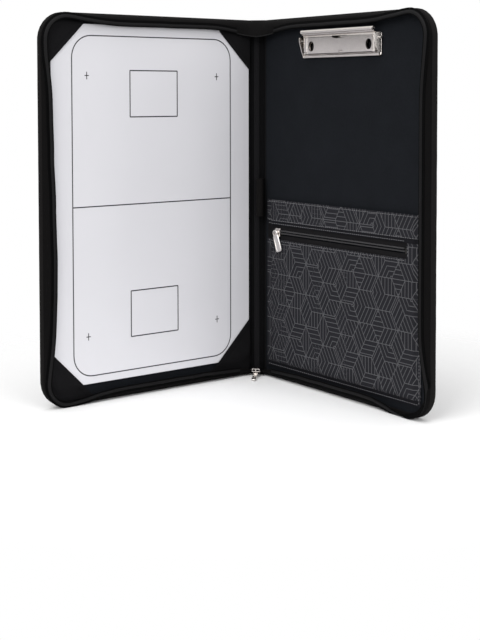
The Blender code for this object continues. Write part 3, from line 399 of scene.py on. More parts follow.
def sheet_faces(bm, top, bottom):
    """Faces of a closed sheet between two grids of points, each with its corners' grid places."""
    above, below = add_rows(bm, top), add_rows(bm, bottom)
    last_k, last_i = len(top) - 1, len(top[0]) - 1
    made = []
    for k in range(last_k):
        for i in range(last_i):
            ring = [(k, i), (k + 1, i), (k + 1, i + 1), (k, i + 1)]
            made.append((bm.faces.new([above[a][b] for a, b in ring]), ring))
            made.append((bm.faces.new([below[a][b] for a, b in reversed(ring)]), ring[::-1]))
    border = [(k, 0) for k in range(last_k)] + [(last_k, i) for i in range(last_i)]
    border += [(k, last_i) for k in range(last_k, 0, -1)] + [(0, i) for i in range(last_i, 0, -1)]
    for (a, b), (c, d) in zip(border, border[1:] + border[:1]):
        face = bm.faces.new([above[a][b], above[c][d], below[c][d], below[a][b]])
        made.append((face, [(a, b), (c, d), (c, d), (a, b)]))
    return made


def shell(name, top, bottom, places, mat, panel, slot, replaces=(), second=None, is_second=None):
    """A closed sheet between two grids of points. places holds each point's UV in millimetres."""
    bm, uv_layer = start_mesh()
    for face, ring in sheet_faces(bm, top, bottom):
        spots = [places[a][b] for a, b in ring]
        for corner, spot in zip(face.loops, spots):
            corner[uv_layer].uv = spot
        if is_second:
            centre = [sum(spot[i] for spot in spots) / 4 for i in (0, 1)]
            face.material_index = 1 if is_second(*centre) else 0
    piece = finish_mesh(name, bm, mat, panel, replaces)
    if second:
        piece.data.materials.append(second)
    return piece


def two_faces(rows, thick):
    """The two faces of an even sheet about a grid of points."""
    last_k, last_i = len(rows) - 1, len(rows[0]) - 1
    above, below = [], []
    for k, row in enumerate(rows):
        sides = []
        for i in range(last_i + 1):
            along = rows[min(k + 1, last_k)][i] - rows[max(k - 1, 0)][i]
            across = row[min(i + 1, last_i)] - row[max(i - 1, 0)]
            sides.append(along.cross(across).normalized() * thick / 2)
        above.append([point + side for point, side in zip(row, sides)])
        below.append([point - side for point, side in zip(row, sides)])
    return above, below


def cloth_grid(name, columns, mat, panel, slot, top, thick, replaces=(), **extra):
    """Cloth over columns of (u, z) places, with its face at top(u, z) and its own thickness."""
    above, below = ([[panel.at(u, top(u, z) - drop, z) for u, z in column] for column in columns]
                    for drop in (0, thick))
    places = [[(u / MM, z / MM) for u, z in column] for column in columns]
    return shell(name, above, below, places, mat, panel, slot, replaces, **extra)


def bent_cloth(name, rows, thick, mat, slot, replaces=(), **extra):
    """Cloth of even thickness about a grid of points, for pieces that bend and ride on nothing."""
    places = [[((point - first).length / MM, (point - row[0]).length / MM)
               for point, first in zip(row, rows[0])] for row in rows]
    return shell(name, *two_faces(rows, thick), places, mat, None, slot, replaces, **extra)


def rows_of(us, zs):
    """Rows of places for cloth_grid over a rectangle."""
    return [[(u, z) for u in us] for z in zs]


def ease(share):
    """A smooth step from 0 to 1 as share goes from 0 to 1."""
    share = min(max(share, 0.0), 1.0)
    return share * share * (3 - 2 * share)


def circle(steps):
    """Even turns round a circle."""
    return [2 * math.pi * step / steps for step in range(steps)]


def spread(start, stop, step):
    """Evenly spaced numbers from start to stop, no further apart than step."""
    count = max(1, math.ceil(abs(stop - start) / step - 1e-6))
    return [start + (stop - start) * i / count for i in range(count + 1)]


def rim_u(z, inset):
    """How far out the cover's outline, drawn in by inset, reaches at height z."""
    radius = CORNER - inset
    from_end = min(z, HEIGHT - z) - inset
    if from_end >= radius:
        return WIDTH - inset
    drop = radius - max(from_end, 0)
    return WIDTH - CORNER + math.sqrt(max(radius ** 2 - drop ** 2, 0))


def cover_columns(start_u, inset, step):
    """Rows of places over a whole cover inside its outline, closer together at its ends."""
    ends = [inset + (CORNER - inset) * (1 - math.cos(math.pi / 2 * i / 9)) for i in range(9)]
    heights = ends + spread(CORNER, HEIGHT - CORNER, step) + [HEIGHT - z for z in reversed(ends)]
    count = round(WIDTH / step)
    return [[(start_u + (rim_u(z, inset) - start_u) * i / count, z) for i in range(count + 1)]
            for z in heights]


def ripple(point, scale, seed=0.0):
    """Smooth unevenness from -1 to 1 that repeats nowhere on the folder."""
    return noise.noise(Vector((point[0] * scale, point[1] * scale, seed)))


def rim_place(s, inset, w):
    """A place on the rim, s along the zip line from the bottom of the fold round to its top."""
    centre_u = WIDTH - CORNER
    radius = CORNER - inset
    if s > RIM_LENGTH / 2:
        u, w, z = rim_place(RIM_LENGTH - s, inset, w)
        return u, w, HEIGHT - z
    if s <= STRAIGHT:
        return s, w, inset
    s -= STRAIGHT
    if s <= RIM_ARC:
        turn = s / RIM_ARC * math.pi / 2
        return centre_u + radius * math.sin(turn), w, CORNER - radius * math.cos(turn)
    return WIDTH - inset, w, CORNER + s - RIM_ARC


def bump_at(s, centre, reach):
    """A smooth hill from 0 to 1 round a place along the rim."""
    far = abs(s - centre) / reach
    return 0.0 if far >= 1 else (1 + math.cos(math.pi * far)) / 2


LOW_CORNER = STRAIGHT + RIM_ARC / 2
HIGH_CORNER = RIM_LENGTH - LOW_CORNER
LOW_WEB = 17.6 * MM
HIGH_WEB = 20 * MM
ZIP_RUN = RIM_LENGTH - LOW_WEB - HIGH_WEB
ZIP_STEP = 3.2 * MM
ZIP_TOP = 7.84 * MM
UPRIGHT_REACH = 75 * MM
END_REACH = 60 * MM
FRONT_LEAN = [(0, 0.0), (57, 0.5), (128, 2.0), (181, 0.9), (226, -0.6), (270, -1.4), (305, -2.0), (350, 0.8)]
PAST_LEAN = 0.004


def front_lean(s):
    """How much further in than the back cover's the front cover's wall leans along its long side."""
    place = (s - STRAIGHT - RIM_ARC + CORNER) / MM
    if place <= 0:
        return 0.0
    for (a, low), (b, high) in zip(FRONT_LEAN, FRONT_LEAN[1:]):
        if place <= b:
            return low + (high - low) * ease((place - a) / (b - a))
    end, last = FRONT_LEAN[-1]
    return max(last - (place - end) * PAST_LEAN, 0.0)


def zip_edge(s, panel):
    """Where the free edge of the zip wall is: upright in the corners, leaning in between them."""
    corners = (LOW_CORNER, HIGH_CORNER)
    upright = max(bump_at(s, corner, UPRIGHT_REACH) for corner in corners)
    pulls, reach = ((2.0, 1.8), 50 * MM) if panel is FRONT else ((5.6, 1.5), 62 * MM)
    drawn = sum(pull * bump_at(s, corner, reach) for pull, corner in zip(pulls, corners))
    low, sag = (max(0.0, 1 - far / END_REACH) for far in (s, RIM_LENGTH - s))
    inset = 10.2 - 4.2 * upright - drawn + 7.2 * sag ** 2 - 2.0 * low
    if panel is FRONT:
        inset += front_lean(s)
    rise = 5.9 + 1.0 * upright - 1.44 * sag ** 2 + 0.3 * low
    wobble = ripple((s, 0), 60, 3.0)
    return Vector(((inset + 0.3 * wobble) * MM, (rise - 0.25 * wobble) * MM))


def curve_points(a, b, c, count):
    """Points of a quadratic curve from a to c, drawn towards b."""
    points = []
    for i in range(count):
        t = i / (count - 1)
        points.append(a * (1 - t) ** 2 + b * 2 * t * (1 - t) + c * t ** 2)
    return points


def thicken(points, thick):
    """A closed outline of even thickness round an open line of 2-D points."""
    left, right = [], []
    for i, point in enumerate(points):
        way = (points[min(i + 1, len(points) - 1)] - points[max(i - 1, 0)]).normalized()
        side = Vector((-way.y, way.x)) * thick / 2
        left.append(point + side)
        right.append(point - side)
    return left + right[::-1]


def tape_line(s, panel):
    """The zip tape's line from the binding to its free edge, in the (inset, w) plane."""
    edge = zip_edge(s, panel)
    base = Vector((1.5 * MM, 0.8 * MM))
    return curve_points(base, Vector((1.7 * MM + edge.x * 0.12, edge.y * 0.98)), edge, 9)


def stitches(name, panel, lines, size, mat):
    """Stitches along lines of (u, w, z) places. size is their pitch, length and thickness in millimetres."""
    bm, _ = start_mesh()
    pitch, length, thick = (value * MM for value in size)
    for line in lines:
        points = [panel.at(*place) for place in line]
        walked = 0.0
        next_start = pitch / 2
        for a, b in zip(points, points[1:]):
            way = b - a
            run = way.length
            while next_start <= walked + run:
                centre = a + way * ((next_start - walked) / run)
                add_stitch(bm, centre, way.normalized(), panel.inward, length, thick)
                next_start += pitch
            walked += run
    finish_mesh(name, bm, mat, panel)


def add_stitch(bm, centre, way, up, length, thick):
    """One plump stitch, tapered into the cloth at both ends."""
    side = way.cross(up).normalized()
    lift = side.cross(way).normalized()
    rings = []
    for share, size, height in ((-0.5, 0.35, -0.3), (-0.25, 1.0, 0.35), (0.25, 1.0, 0.35), (0.5, 0.35, -0.3)):
        middle = centre + way * (share * length) + lift * (height * thick)
        rings.append([middle + (side * math.cos(turn) + lift * math.sin(turn)) * (thick / 2 * size)
                      for turn in circle(6)])
    skin(bm, add_rows(bm, rings))


# Covers

CLOTH_THICK = 0.75 * MM
PAD_THICK = 1.6 * MM
TAPE_THICK = 0.6 * MM
COVER_END = 0.9 * MM
COVER_HEM = 1.0 * MM
OUTSIDE, FULLNESS, UNEVEN, LINING_DROP = 4.75, 0.9, 0.12, 0.1
FLAT_EDGE, FULL_RISE = 7 * MM, 30 * MM
GATHER_REACH, GATHER_PITCH = 30 * MM, 3.4 * MM


def shell_face(u, z):
    """Outside of the cover cloth: flat at the binding and gently full in the middle."""
    edge = min(rim_u(z, 0) - u, z, HEIGHT - z, u + 12 * MM)
    full = ease((edge - FLAT_EDGE) / FULL_RISE)
    return -(OUTSIDE + FULLNESS * full + UNEVEN * ripple((u, z), 34, 1.0)) * MM


def lining_face(u, z):
    return (UNEVEN * ripple((u, z), 26, 5.0) - LINING_DROP) * MM


def cover_cloths(panel):
    """A cover's outer cloth, and its lining with the foam under it."""
    prefix = panel.prefix
    columns = cover_columns(COVER_HEM, COVER_END, 8 * MM)
    outer = cloth_grid(prefix + "_outer_cloth", columns, COVER, panel, "cover_cloth",
                       lambda u, z: shell_face(u, z) + CLOTH_THICK, CLOTH_THICK, [prefix + "_shell"])
    pad = cloth_grid(prefix + "_lining_pad", columns, LINING, panel, "lining_cloth", lining_face,
                     PAD_THICK, [prefix + "_lining", prefix + "_foam"])


BINDING_OUTLINE = [(9.0, -5.25), (8.9, -5.6), (7.0, -5.72), (4.0, -5.78), (1.8, -5.62), (0.6, -5.1),
                   (0.08, -4.0), (0.0, -2.4), (0.08, -0.9), (0.45, 0.2), (1.3, 0.82), (2.6, 0.95),
                   (4.0, 0.88), (4.15, 0.6), (3.9, 0.32), (2.4, 0.3), (1.4, 0.15), (0.85, -0.5),
                   (0.65, -2.0), (0.7, -3.8), (1.1, -4.7), (2.2, -5.05), (5.0, -5.12), (8.8, -5.1)]


def binding_row(s, seed):
    """The binding's outline at one place along the rim, slightly uneven and gathered in corners."""
    points = []
    gather = max(bump_at(s, corner, GATHER_REACH) for corner in (LOW_CORNER, HIGH_CORNER))
    for inset, w in BINDING_OUTLINE:
        soft = 0.14 * ripple((s, w * MM), 90, seed)
        pucker = 0.16 * gather * math.sin(s / GATHER_PITCH * 2 * math.pi) * min(1.0, inset / 4)
        lift = (soft + pucker) * (1 if w > 0 else -1 if w < -5 else 0)
        draw = 0.2 * ripple((s, 0), 160, seed + 7) if inset > 3 else 0.0
        u, height, z = rim_place(s, (inset + draw) * MM, (w + lift) * MM)
        points.append((max(u, fold_start(height)), height, z))
    return points


def fold_start(w):
    """How near to the fold a cover's cloth begins at height w, so that the covers clear each other."""
    return max(COVER_HEM, w + 0.4 * MM)


def cover_binding(panel):
    """The binding folded round the rim, with a row of stitches on each side."""
    seed = 11.0 if panel is FRONT else 23.0
    rows = [[panel.at(*place) for place in binding_row(s, seed)] for s in spread(0.0, RIM_LENGTH, ZIP_STEP)]
    band = loft(panel.prefix + "_binding_band", rows, BINDING, panel,
                [panel.prefix + "_binding"])
    RIM_LENGTH + 0.014
    steps = spread(2.5 * MM, RIM_LENGTH - 2.5 * MM, 2.6 * MM)
    lines = [[rim_place(s, inset * MM, w * MM) for s in steps] for inset, w in ((3.1, 0.98), (7.6, -5.78))]
    stitches(panel.prefix + "_binding_stitches", panel, lines, (2.9, 2.3, 0.34), THREAD_DARK)


def zip_frame(s, panel):
    """The free edge's place, and the way the tape leans there, in the (inset, w) plane."""
    line = tape_line(s, panel)
    return line[-1], (line[-1] - line[-3]).normalized()


def shade_strip_line(s, panel):
    """Painted shade beside the coil: a near-black strip round the tape, from a little behind the coil to just
    past it.
    """
    edge, lean = zip_frame(s, panel)
    return [edge - lean * (back * MM) for back in (5.4, 4.1, 2.8, 1.4, 0, -0.6)]


def zip_rows(panel, line_at, thick):
    """Outlines of a strip of cloth along the zip, from its line at each place."""
    return [[panel.at(*rim_place(s, inset, min(w, ZIP_TOP)))
             for inset, w in thicken(line_at(s, panel), thick)]
            for s in spread(LOW_WEB, RIM_LENGTH - HIGH_WEB, ZIP_STEP)]


COIL_PITCH = 1.5 * MM
WEB_STEPS = 11


def coil_size(count):
    """Half the coil's thickness at one of its half turns."""
    return (0.80 if count % 2 else 0.58) * MM


def cover_zip(panel):
    """Half of the main zip: its tape, a near-black strip of painted shade along the tape's edge, and the coil
    beside it as a swelling cord.
    """
    prefix = panel.prefix
    tape = loft(prefix + "_zip_wall", zip_rows(panel, tape_line, TAPE_THICK), TAPE, panel,
                [prefix + "_zip_tape"])
    # The near-black strip along the tape's edge is painted shade beside the coil.
    shade_strip = loft(prefix + "_zip_painted_shade", zip_rows(panel, shade_strip_line, 0.84 * MM), PAINTED_SHADE_STRIP, panel)
    0.0057 * ZIP_RUN
    rows = []
    for count, s in enumerate(spread(LOW_WEB, RIM_LENGTH - HIGH_WEB, COIL_PITCH / 2)):
        edge, lean = zip_frame(s, panel)
        lift = Vector((-lean.y, lean.x))
        row = []
        for turn in circle(8):
            across = -1.6 * MM + 2.2 * coil_size(count) * math.cos(turn + math.pi / 8)
            up = 0.4 * MM + coil_size(count) * 0.7 * math.sin(turn + math.pi / 8)
            place = edge + lean * across + lift * up
            row.append(panel.at(*rim_place(s, place.x, min(place.y, ZIP_TOP))))
        rows.append(row)
    loft(prefix + "_zip_coil_row", rows, ZIP_BLACK, panel, [prefix + "_zip_teeth"])


# Spine and folds

def spine_pieces():
    """The spine's outer cloth, its padded lining with a ribbon on it, and its two ends' bindings."""
    us = spread(-7 * MM, 7 * MM, 2 * MM)
    zs = spread(COVER_END, HEIGHT - COVER_END, 6 * MM)
    outer = cloth_grid("spine_outer_cloth", rows_of(us, zs), COVER, MIDDLE, "cover_cloth",
                       lambda u, z: -(3.95 + 0.15 * ripple((u, z), 40, 2.0)) * MM, CLOTH_THICK,
                       ["spine_shell"])
    pad = cloth_grid("spine_lining_pad", rows_of(us, zs), SPINE_CLOTH, MIDDLE, "lining_cloth",
                     lambda u, z: (-0.05 + 0.1 * ripple((u, z), 30, 6.0)) * MM, PAD_THICK,
                     ["spine_lining", "spine_foam"])
    tape_us = spread(-3.4 * MM, 1.8 * MM, 0.65 * MM)
    tape = cloth_grid("spine_inner_ribbon", rows_of(tape_us, zs), SPINE_RIBBON, MIDDLE, "ribbon_cloth",
                      lambda u, z: (0.62 - 0.3 * (abs(u + 0.8 * MM) / (2.6 * MM)) ** 2) * MM, 0.35 * MM)
    for label in ("top", "bottom"):
        rows = [[MIDDLE.at(share * (SPINE / 2 - fold_start(w * MM)), w * MM,
                           HEIGHT - inset * MM if label == "top" else inset * MM)
                 for inset, w in BINDING_OUTLINE] for share in spread(-1, 1, 0.25)]
        band = loft("spine_binding_band_" + label, rows, BINDING, MIDDLE,
                    ["spine_binding_" + label])


FOLD_TAIL = 1.02 * MM
FOLD_REACH = 4.3 * MM
FOLD_BOUND = 9.2
FOLD_END = [(0.5, 1.2), (0.42, 2.6), (0.5, 4.0), (0.9, 4.8), (1.8, 5.05), (5.0, 5.05), (8.4, 5.0), (9.4, 4.4)]


def fold_pieces(panel):
    """The bead sewn in the fold, and the outer cloth bent round it, bound at both ends."""
    side = -1 if panel is FRONT else 1
    rows = []
    for z in spread(COVER_END, HEIGHT - COVER_END, 4 * MM):
        size = (0.66 + 0.04 * math.sin(z / (1.6 * MM) * math.pi)) * MM
        rows.append([MIDDLE.at(side * SPINE / 2 + size * math.cos(turn), size * math.sin(turn), z)
                     for turn in circle(8)])
    bead = loft(panel.prefix + "_fold_bead", rows, POCKET_BLACK, MIDDLE,
                [panel.prefix + "_fold_seam"])
    ends = [(inset * MM, reach * MM) for inset, reach in FOLD_END]
    places = ends + [(z, FOLD_REACH + UNEVEN * MM * ripple((0, z), 70, 8.0))
                     for z in spread(12 * MM, HEIGHT - 12 * MM, 4 * MM)]
    places += [(HEIGHT - z, reach) for z, reach in reversed(ends)]
    bent = []
    for z, reach in places:
        row = [MIDDLE.at(side * (SPINE / 2 - FOLD_TAIL), -reach, z)]
        for step in range(9):
            turn = (math.pi / 2 - HALF_OPEN) * step / 8
            row.append(MIDDLE.at(side * (SPINE / 2 + reach * math.sin(turn)), -reach * math.cos(turn), z))
        row.append(panel.at(FOLD_TAIL, -reach, z))
        bent.append(row if side < 0 else row[::-1])
    piece = bent_cloth(panel.prefix + "_fold_wrap", bent, CLOTH_THICK, COVER, "cover_cloth",
                       [panel.prefix + "_fold_cloth"], second=BINDING,
                       is_second=lambda run, reach: min(run, HEIGHT / MM - run) < FOLD_BOUND)
    MIDDLE.at(side * (SPINE / 2 - 1 * MM), -FOLD_REACH, 0.175)
    panel.at(1 * MM, -FOLD_REACH, 0.175)
    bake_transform(piece)


def web_base(panel, side, far, inset, w):
    """A place along the inner edge of the binding, far from the spine's middle and on to the cover."""
    half = SPINE / 2
    if far <= half - 2 * MM:
        return MIDDLE.at(side * far, w, inset)
    if far >= half + 2 * MM:
        return panel.at(far - half, w, inset)
    share = (far - half + 2 * MM) / (4 * MM)
    near = MIDDLE.at(side * (half - 2 * MM), w, inset)
    return near.lerp(panel.at(2 * MM, w, inset), share)


def web_rows(panel, side, line, reach, middle_edge):
    """The wall across half of the V's corner, from the spine's middle to where the rim's wall begins."""
    last = panel.at(reach, line[-1].y, line[-1].x)
    first = MIDDLE.at(0, *middle_edge)
    back = (last - first).y / panel.along.y
    knee = last - panel.along * back * 0.92
    knee.z = (first.z * 2 + last.z) / 3
    rows = []
    for k, free in enumerate(curve_points(first, knee, last, WEB_STEPS + 1)):
        base = web_base(panel, side, (SPINE / 2 + reach) * k / WEB_STEPS, line[0].x, line[0].y)
        row = []
        for place in line:
            wall, full = place - line[0], line[-1] - line[0]
            share = wall.length / full.length
            bow = wall - full * share
            row.append(base.lerp(free, share) + panel.inward * bow.y + Vector((0, 0, bow.x)))
        rows.append(row)
    return rows


def web_coil(edge):
    """The coil carried along a web's free edge, as outlines of a cord that swells at each turn."""
    rows = []
    for k in range(4 * WEB_STEPS + 1):
        place = k / 4
        low = min(int(place), WEB_STEPS - 1)
        way = (edge[low + 1] - edge[low]).normalized()
        out = way.cross(Vector((0, 0, 1))).normalized()
        over = out.cross(way).normalized()
        middle = edge[low].lerp(edge[low + 1], place - low) - over * 0.3 * MM
        rows.append([middle + (out * math.cos(turn) + over * math.sin(turn)) * coil_size(k)
                     for turn in circle(8)])
    return rows


def zip_webs(panel):
    """The zip wall carried across the corner of the V, in halves, one for each cover."""
    side = -1 if panel is FRONT else 1
    start, end = MIDDLE.at(side * 4 * MM, 3 * MM, 0.3), panel.at(6 * MM, 3 * MM, 0.3)
    for label, reach, s_end, middle_edge, flat, drawn in (
            ("top", HIGH_WEB, RIM_LENGTH - HIGH_WEB, (9.0 * MM, 16.5 * MM), 0.017, 0.0150),
            ("bottom", LOW_WEB, LOW_WEB, (5.4 * MM, 4.7 * MM), 0.011, 0.0072)):
        rows = web_rows(panel, side, tape_line(s_end, panel), reach, middle_edge)
        if label == "top":
            rows = [[Vector((p.x, p.y, HEIGHT - p.z)) for p in row] for row in rows]
        web = bent_cloth("%s_zip_web_%s" % (panel.prefix, label), rows, TAPE_THICK, TAPE, "zip_cloth",
                         ["spine_zip_web_" + label])
        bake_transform(web)
        SPINE / 2 + reach
        drawn * (SPINE / 2 + reach)
        "spine_binding_band_" + label
        if label == "top":
            coil = loft(panel.prefix + "_zip_web_coil", web_coil([row[-1] for row in rows]), ZIP_BLACK,
                        None)
            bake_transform(coil)


def pen_loop_piece():
    """The elastic sleeve, as a ring of ribbed cloth round its own outline."""
    centre = Vector((SPINE / 2 - 4.8 * MM, 5.4 * MM))
    radius, thick, ribs = 3.53 * MM, 0.85 * MM, 0.05 * MM
    zs = spread(158 * MM, 195 * MM, 1.2 * MM)
    rows = []
    for straight, first in ((5.1 * MM - radius, 0), (radius - 5.1 * MM, 180)):
        for turn in (math.radians(first + 15 * step) for step in range(13)):
            spot = centre + Vector((3.6 * MM * math.cos(turn), straight + radius * math.sin(turn)))
            out = (spot - centre).normalized()
            drops = [0 if number % 2 else 2 * ribs for number in range(len(zs))] + [thick] * len(zs)
            rows.append([MIDDLE.at(spot.x - out.x * drop, spot.y - out.y * drop, z)
                         for drop, z in zip(drops, zs + zs[::-1])])
    loop = loft("pen_loop_sleeve", rows, ELASTIC, MIDDLE, ["pen_loop"], ring=True)


# Tactics board

BOARD_BOX = (2.5 * MM, 224 * MM, 17 * MM, 340 * MM)
INK_LOW, INK_HIGH = 1.81 * MM, 1.85 * MM
LINE_WIDTH, CROSS_WIDTH = 1.05 * MM, 0.8 * MM
SEAM_INSET, HEM_TURN = 5 * MM, 1.5 * MM


def board_distance(u, z):
    """How far a place lies outside the board's rounded outline. Inside it is negative."""
    u0, u1, z0, z1 = BOARD_BOX
    radius = 8 * MM
    du = abs(u - (u0 + u1) / 2) - (u1 - u0) / 2 + radius
    dz = abs(z - (z0 + z1) / 2) - (z1 - z0) / 2 + radius
    return math.hypot(max(du, 0), max(dz, 0)) + min(max(du, dz), 0) - radius


def flat_line(bm, places, width, closed=False):
    """A thin printed line of even width through (u, z) places on the board."""
    count = len(places)
    rows = []
    for i, place in enumerate(places):
        before = places[i - 1] if closed or i else place
        after = places[(i + 1) % count] if closed or i < count - 1 else place
        way = (Vector(after) - Vector(before)).normalized()
        side = Vector((-way.y, way.x)) * width / 2
        left, right = Vector(place) - side, Vector(place) + side
        rows.append([FRONT.at(spot.x, w, spot.y) for spot, w in
                     ((left, INK_LOW), (right, INK_LOW), (right, INK_HIGH), (left, INK_HIGH))])
    skin(bm, add_rows(bm, rows), closed)


def rounded_box(u0, u1, z0, z1, radius, steps):
    """Places round a box with round corners."""
    places = []
    for centre_u, centre_z, first in ((u1 - radius, z0 + radius, -90), (u1 - radius, z1 - radius, 0),
                                      (u0 + radius, z1 - radius, 90), (u0 + radius, z0 + radius, 180)):
        for step in range(steps + 1):
            turn = math.radians(first + 90 * step / steps)
            places.append((centre_u + radius * math.cos(turn), centre_z + radius * math.sin(turn)))
    return places


def court_lines():
    """The pitch printed on the board: touchline, halfway line, two goal areas and four crosses."""
    bm, _ = start_mesh()
    u0, u1 = 25.4 * MM, 202.9 * MM
    middle = 176.9 * MM
    flat_line(bm, rounded_box(u0, u1, 24 * MM, 329.9 * MM, 20 * MM, 10), LINE_WIDTH, True)
    flat_line(bm, [(u0, middle), (u1, middle)], LINE_WIDTH)
    for base, top in ((256.9 * MM, 299.2 * MM), (54.6 * MM, 96.9 * MM)):
        flat_line(bm, rounded_box(88.6 * MM, 141.5 * MM, base, top, 0.3 * MM, 2), LINE_WIDTH, True)
    for u in (42.1 * MM, 187.5 * MM):
        for z in (59.8 * MM, 294.3 * MM):
            flat_line(bm, [(u - 2.2 * MM, z), (u + 2.2 * MM, z)], CROSS_WIDTH)
            flat_line(bm, [(u, z - 3.3 * MM), (u, z + 3.3 * MM)], CROSS_WIDTH)
    finish_mesh("court_lines", bm, INK, FRONT)


def walk(points, count):
    """Evenly spread points along an open line of (u, z) places."""
    points = [Vector(point) for point in points]
    runs = [0.0]
    for a, b in zip(points, points[1:]):
        runs.append(runs[-1] + (b - a).length)
    result = []
    for target in (runs[-1] * i / (count - 1) for i in range(count)):
        k = max(j for j in range(len(runs) - 1) if runs[j] <= target + 1e-9)
        share = (target - runs[k]) / ((runs[k + 1] - runs[k]) or 1)
        result.append(points[k].lerp(points[k + 1], min(share, 1.0)))
    return result


def quad_area(corners):
    a, b, c, d = map(Vector, corners)
    return abs((c - a).cross(d - b)) / 2


def corner_pocket(at_fold, at_top):
    """A cloth triangle over a corner of the board, sewn at its outer sides, with a hem across."""
    u0, u1, z0, z1 = BOARD_BOX
    seam_u, edge_u = (1.3 * MM, u0) if at_fold else (WIDTH - SEAM_INSET, u1)
    seam_z, edge_z = (HEIGHT - SEAM_INSET, z1) if at_top else (SEAM_INSET, z0)
    step_u, step_z = (1 if at_fold else -1), (-1 if at_top else 1)
    leg = (37 if at_fold else 31.5 if at_top else 29) * MM + abs(edge_u - seam_u) + abs(edge_z - seam_z)
    far_u = Vector((seam_u + step_u * leg, seam_z))
    far_z = Vector((seam_u, seam_z + step_z * leg))
    bend = [(seam_u, seam_z)]
    if not at_fold:
        radius = CORNER - SEAM_INSET
        centre_z = HEIGHT - CORNER if at_top else CORNER
        bend = [(WIDTH - CORNER + radius * math.sin(math.pi / 16 * i),
                 centre_z - step_z * radius * math.cos(math.pi / 16 * i)) for i in range(9)]
    near_u = far_u + Vector((0, step_z * HEM_TURN))
    near_z = far_z + Vector((step_u * HEM_TURN, 0))
    columns = []
    for i, edge in enumerate(walk([far_u, *bend, far_z], 33)):
        across = near_u.lerp(near_z, i / 32)
        columns.append([tuple(edge.lerp(across, share)) for share in
                        (0, 0.06, 0.12, 0.18, 0.25, 0.35, 0.5, 0.65, 0.78, 0.86, 0.93, 1)])
    way = (near_z - near_u).normalized()
    normal = Vector((-way.y, way.x))

    def face(u, z):
        share = ease((board_distance(u, z) - 0.5 * MM) / (3.8 * MM))
        hem = 0.16 if abs((Vector((u, z)) - near_u).dot(normal)) < 5 * MM else 0.0
        return (2.62 + hem - 1.7 * share + 0.1 * ripple((u, z), 60, 9.0)) * MM

    label = "%s_%s" % ("top" if at_top else "bottom", "fold" if at_fold else "rim")
    piece = cloth_grid("corner_pocket_" + label, columns, POCKET_BLACK, FRONT, "black_cloth", face,
                       0.5 * MM, ["board_corner_" + label])
    area = sum(quad_area((row[i], row[i + 1], after[i + 1], after[i]))
               for row, after in zip(columns, columns[1:]) for i in range(len(row) - 1))
    inward = Vector((-step_u, -step_z)) * 3.2 * MM
    seam = [near_u.lerp(near_z, share) + inward for share in (0.07, 0.3, 0.5, 0.7, 0.93)]
    stitches("corner_stitches_" + label, FRONT, [[(p.x, face(p.x, p.y) + 0.05 * MM, p.y) for p in seam]],
             (2.6, 1.9, 0.3), THREAD_DARK)


# Outside trim

def outer_face(u, z):
    return shell_face(u, z) - 0.05 * MM


def outside_cloth(name, columns, mat, slot, thick, replaces, lift=0.0):
    """Cloth on the outside of the front cover, raised by lift."""
    return cloth_grid(name, columns, mat, FRONT, slot, lambda u, z: outer_face(u, z) - lift, thick, replaces)


def outer_trim():
    """The ribbon with its tack lines and motif, the seam strip, the badge and the blank label."""
    zs = spread(9.3 * MM, HEIGHT - 9.3 * MM, 4 * MM)
    ribbon = outside_cloth("cover_ribbon", rows_of(spread(15 * MM, 54 * MM, 3 * MM), zs), RIBBON,
                           "ribbon_cloth", 0.45 * MM, ["front_ribbon"])
    strip = outside_cloth("cover_seam_strip", rows_of(spread(55 * MM, 63.6 * MM, 2 * MM), zs), COVER,
                          "cover_cloth", 0.4 * MM, ["front_seam_strip"])
    rows = []
    for u in (16.2, 52.8, 56.2, 62.4):
        rows.append([(u * MM, outer_face(u * MM, z) - 0.5 * MM, z) for z in zs])
    for z in (280, 210, 142, 72):
        for shift in (0, 1.1):
            rows.append([(u, outer_face(u, z * MM) - 0.5 * MM, (z + shift) * MM)
                         for u in spread(24.6 * MM, 53.6 * MM, 4 * MM)])
    stitches("cover_trim_stitches", FRONT, rows, (2.8, 2.2, 0.34), THREAD_DARK)
    ribbon_motif()
    badge_trim()


def ribbon_motif():
    """Plain boxes, one inside the other, stitched in outline along the ribbon."""
    low_u, high_u = 27 * MM, 46.5 * MM
    rows = []
    for cell in range(11):
        foot = (15.5 + 29.6 * cell) * MM
        for inset in (0, 5.5 * MM):
            low, high = foot + inset, foot + 24 * MM - inset
            outline = rounded_box(low_u + inset, high_u - inset, low, high, 2 * MM, 3)
            rows.append([(u, outer_face(u, z) - 0.47 * MM, z) for u, z in walk(outline + outline[:1], 41)])
    stitches("cover_ribbon_motif", FRONT, rows, (1.2, 1.4, 0.42), THREAD_MOTIF)


def disc_columns(centre_u, centre_z, radii):
    """Spokes of places over a disc or a ring, the last one on the first."""
    return [[(centre_u + radius * math.cos(turn), centre_z + radius * math.sin(turn)) for radius in radii]
            for turn in circle(48) + [2 * math.pi]]


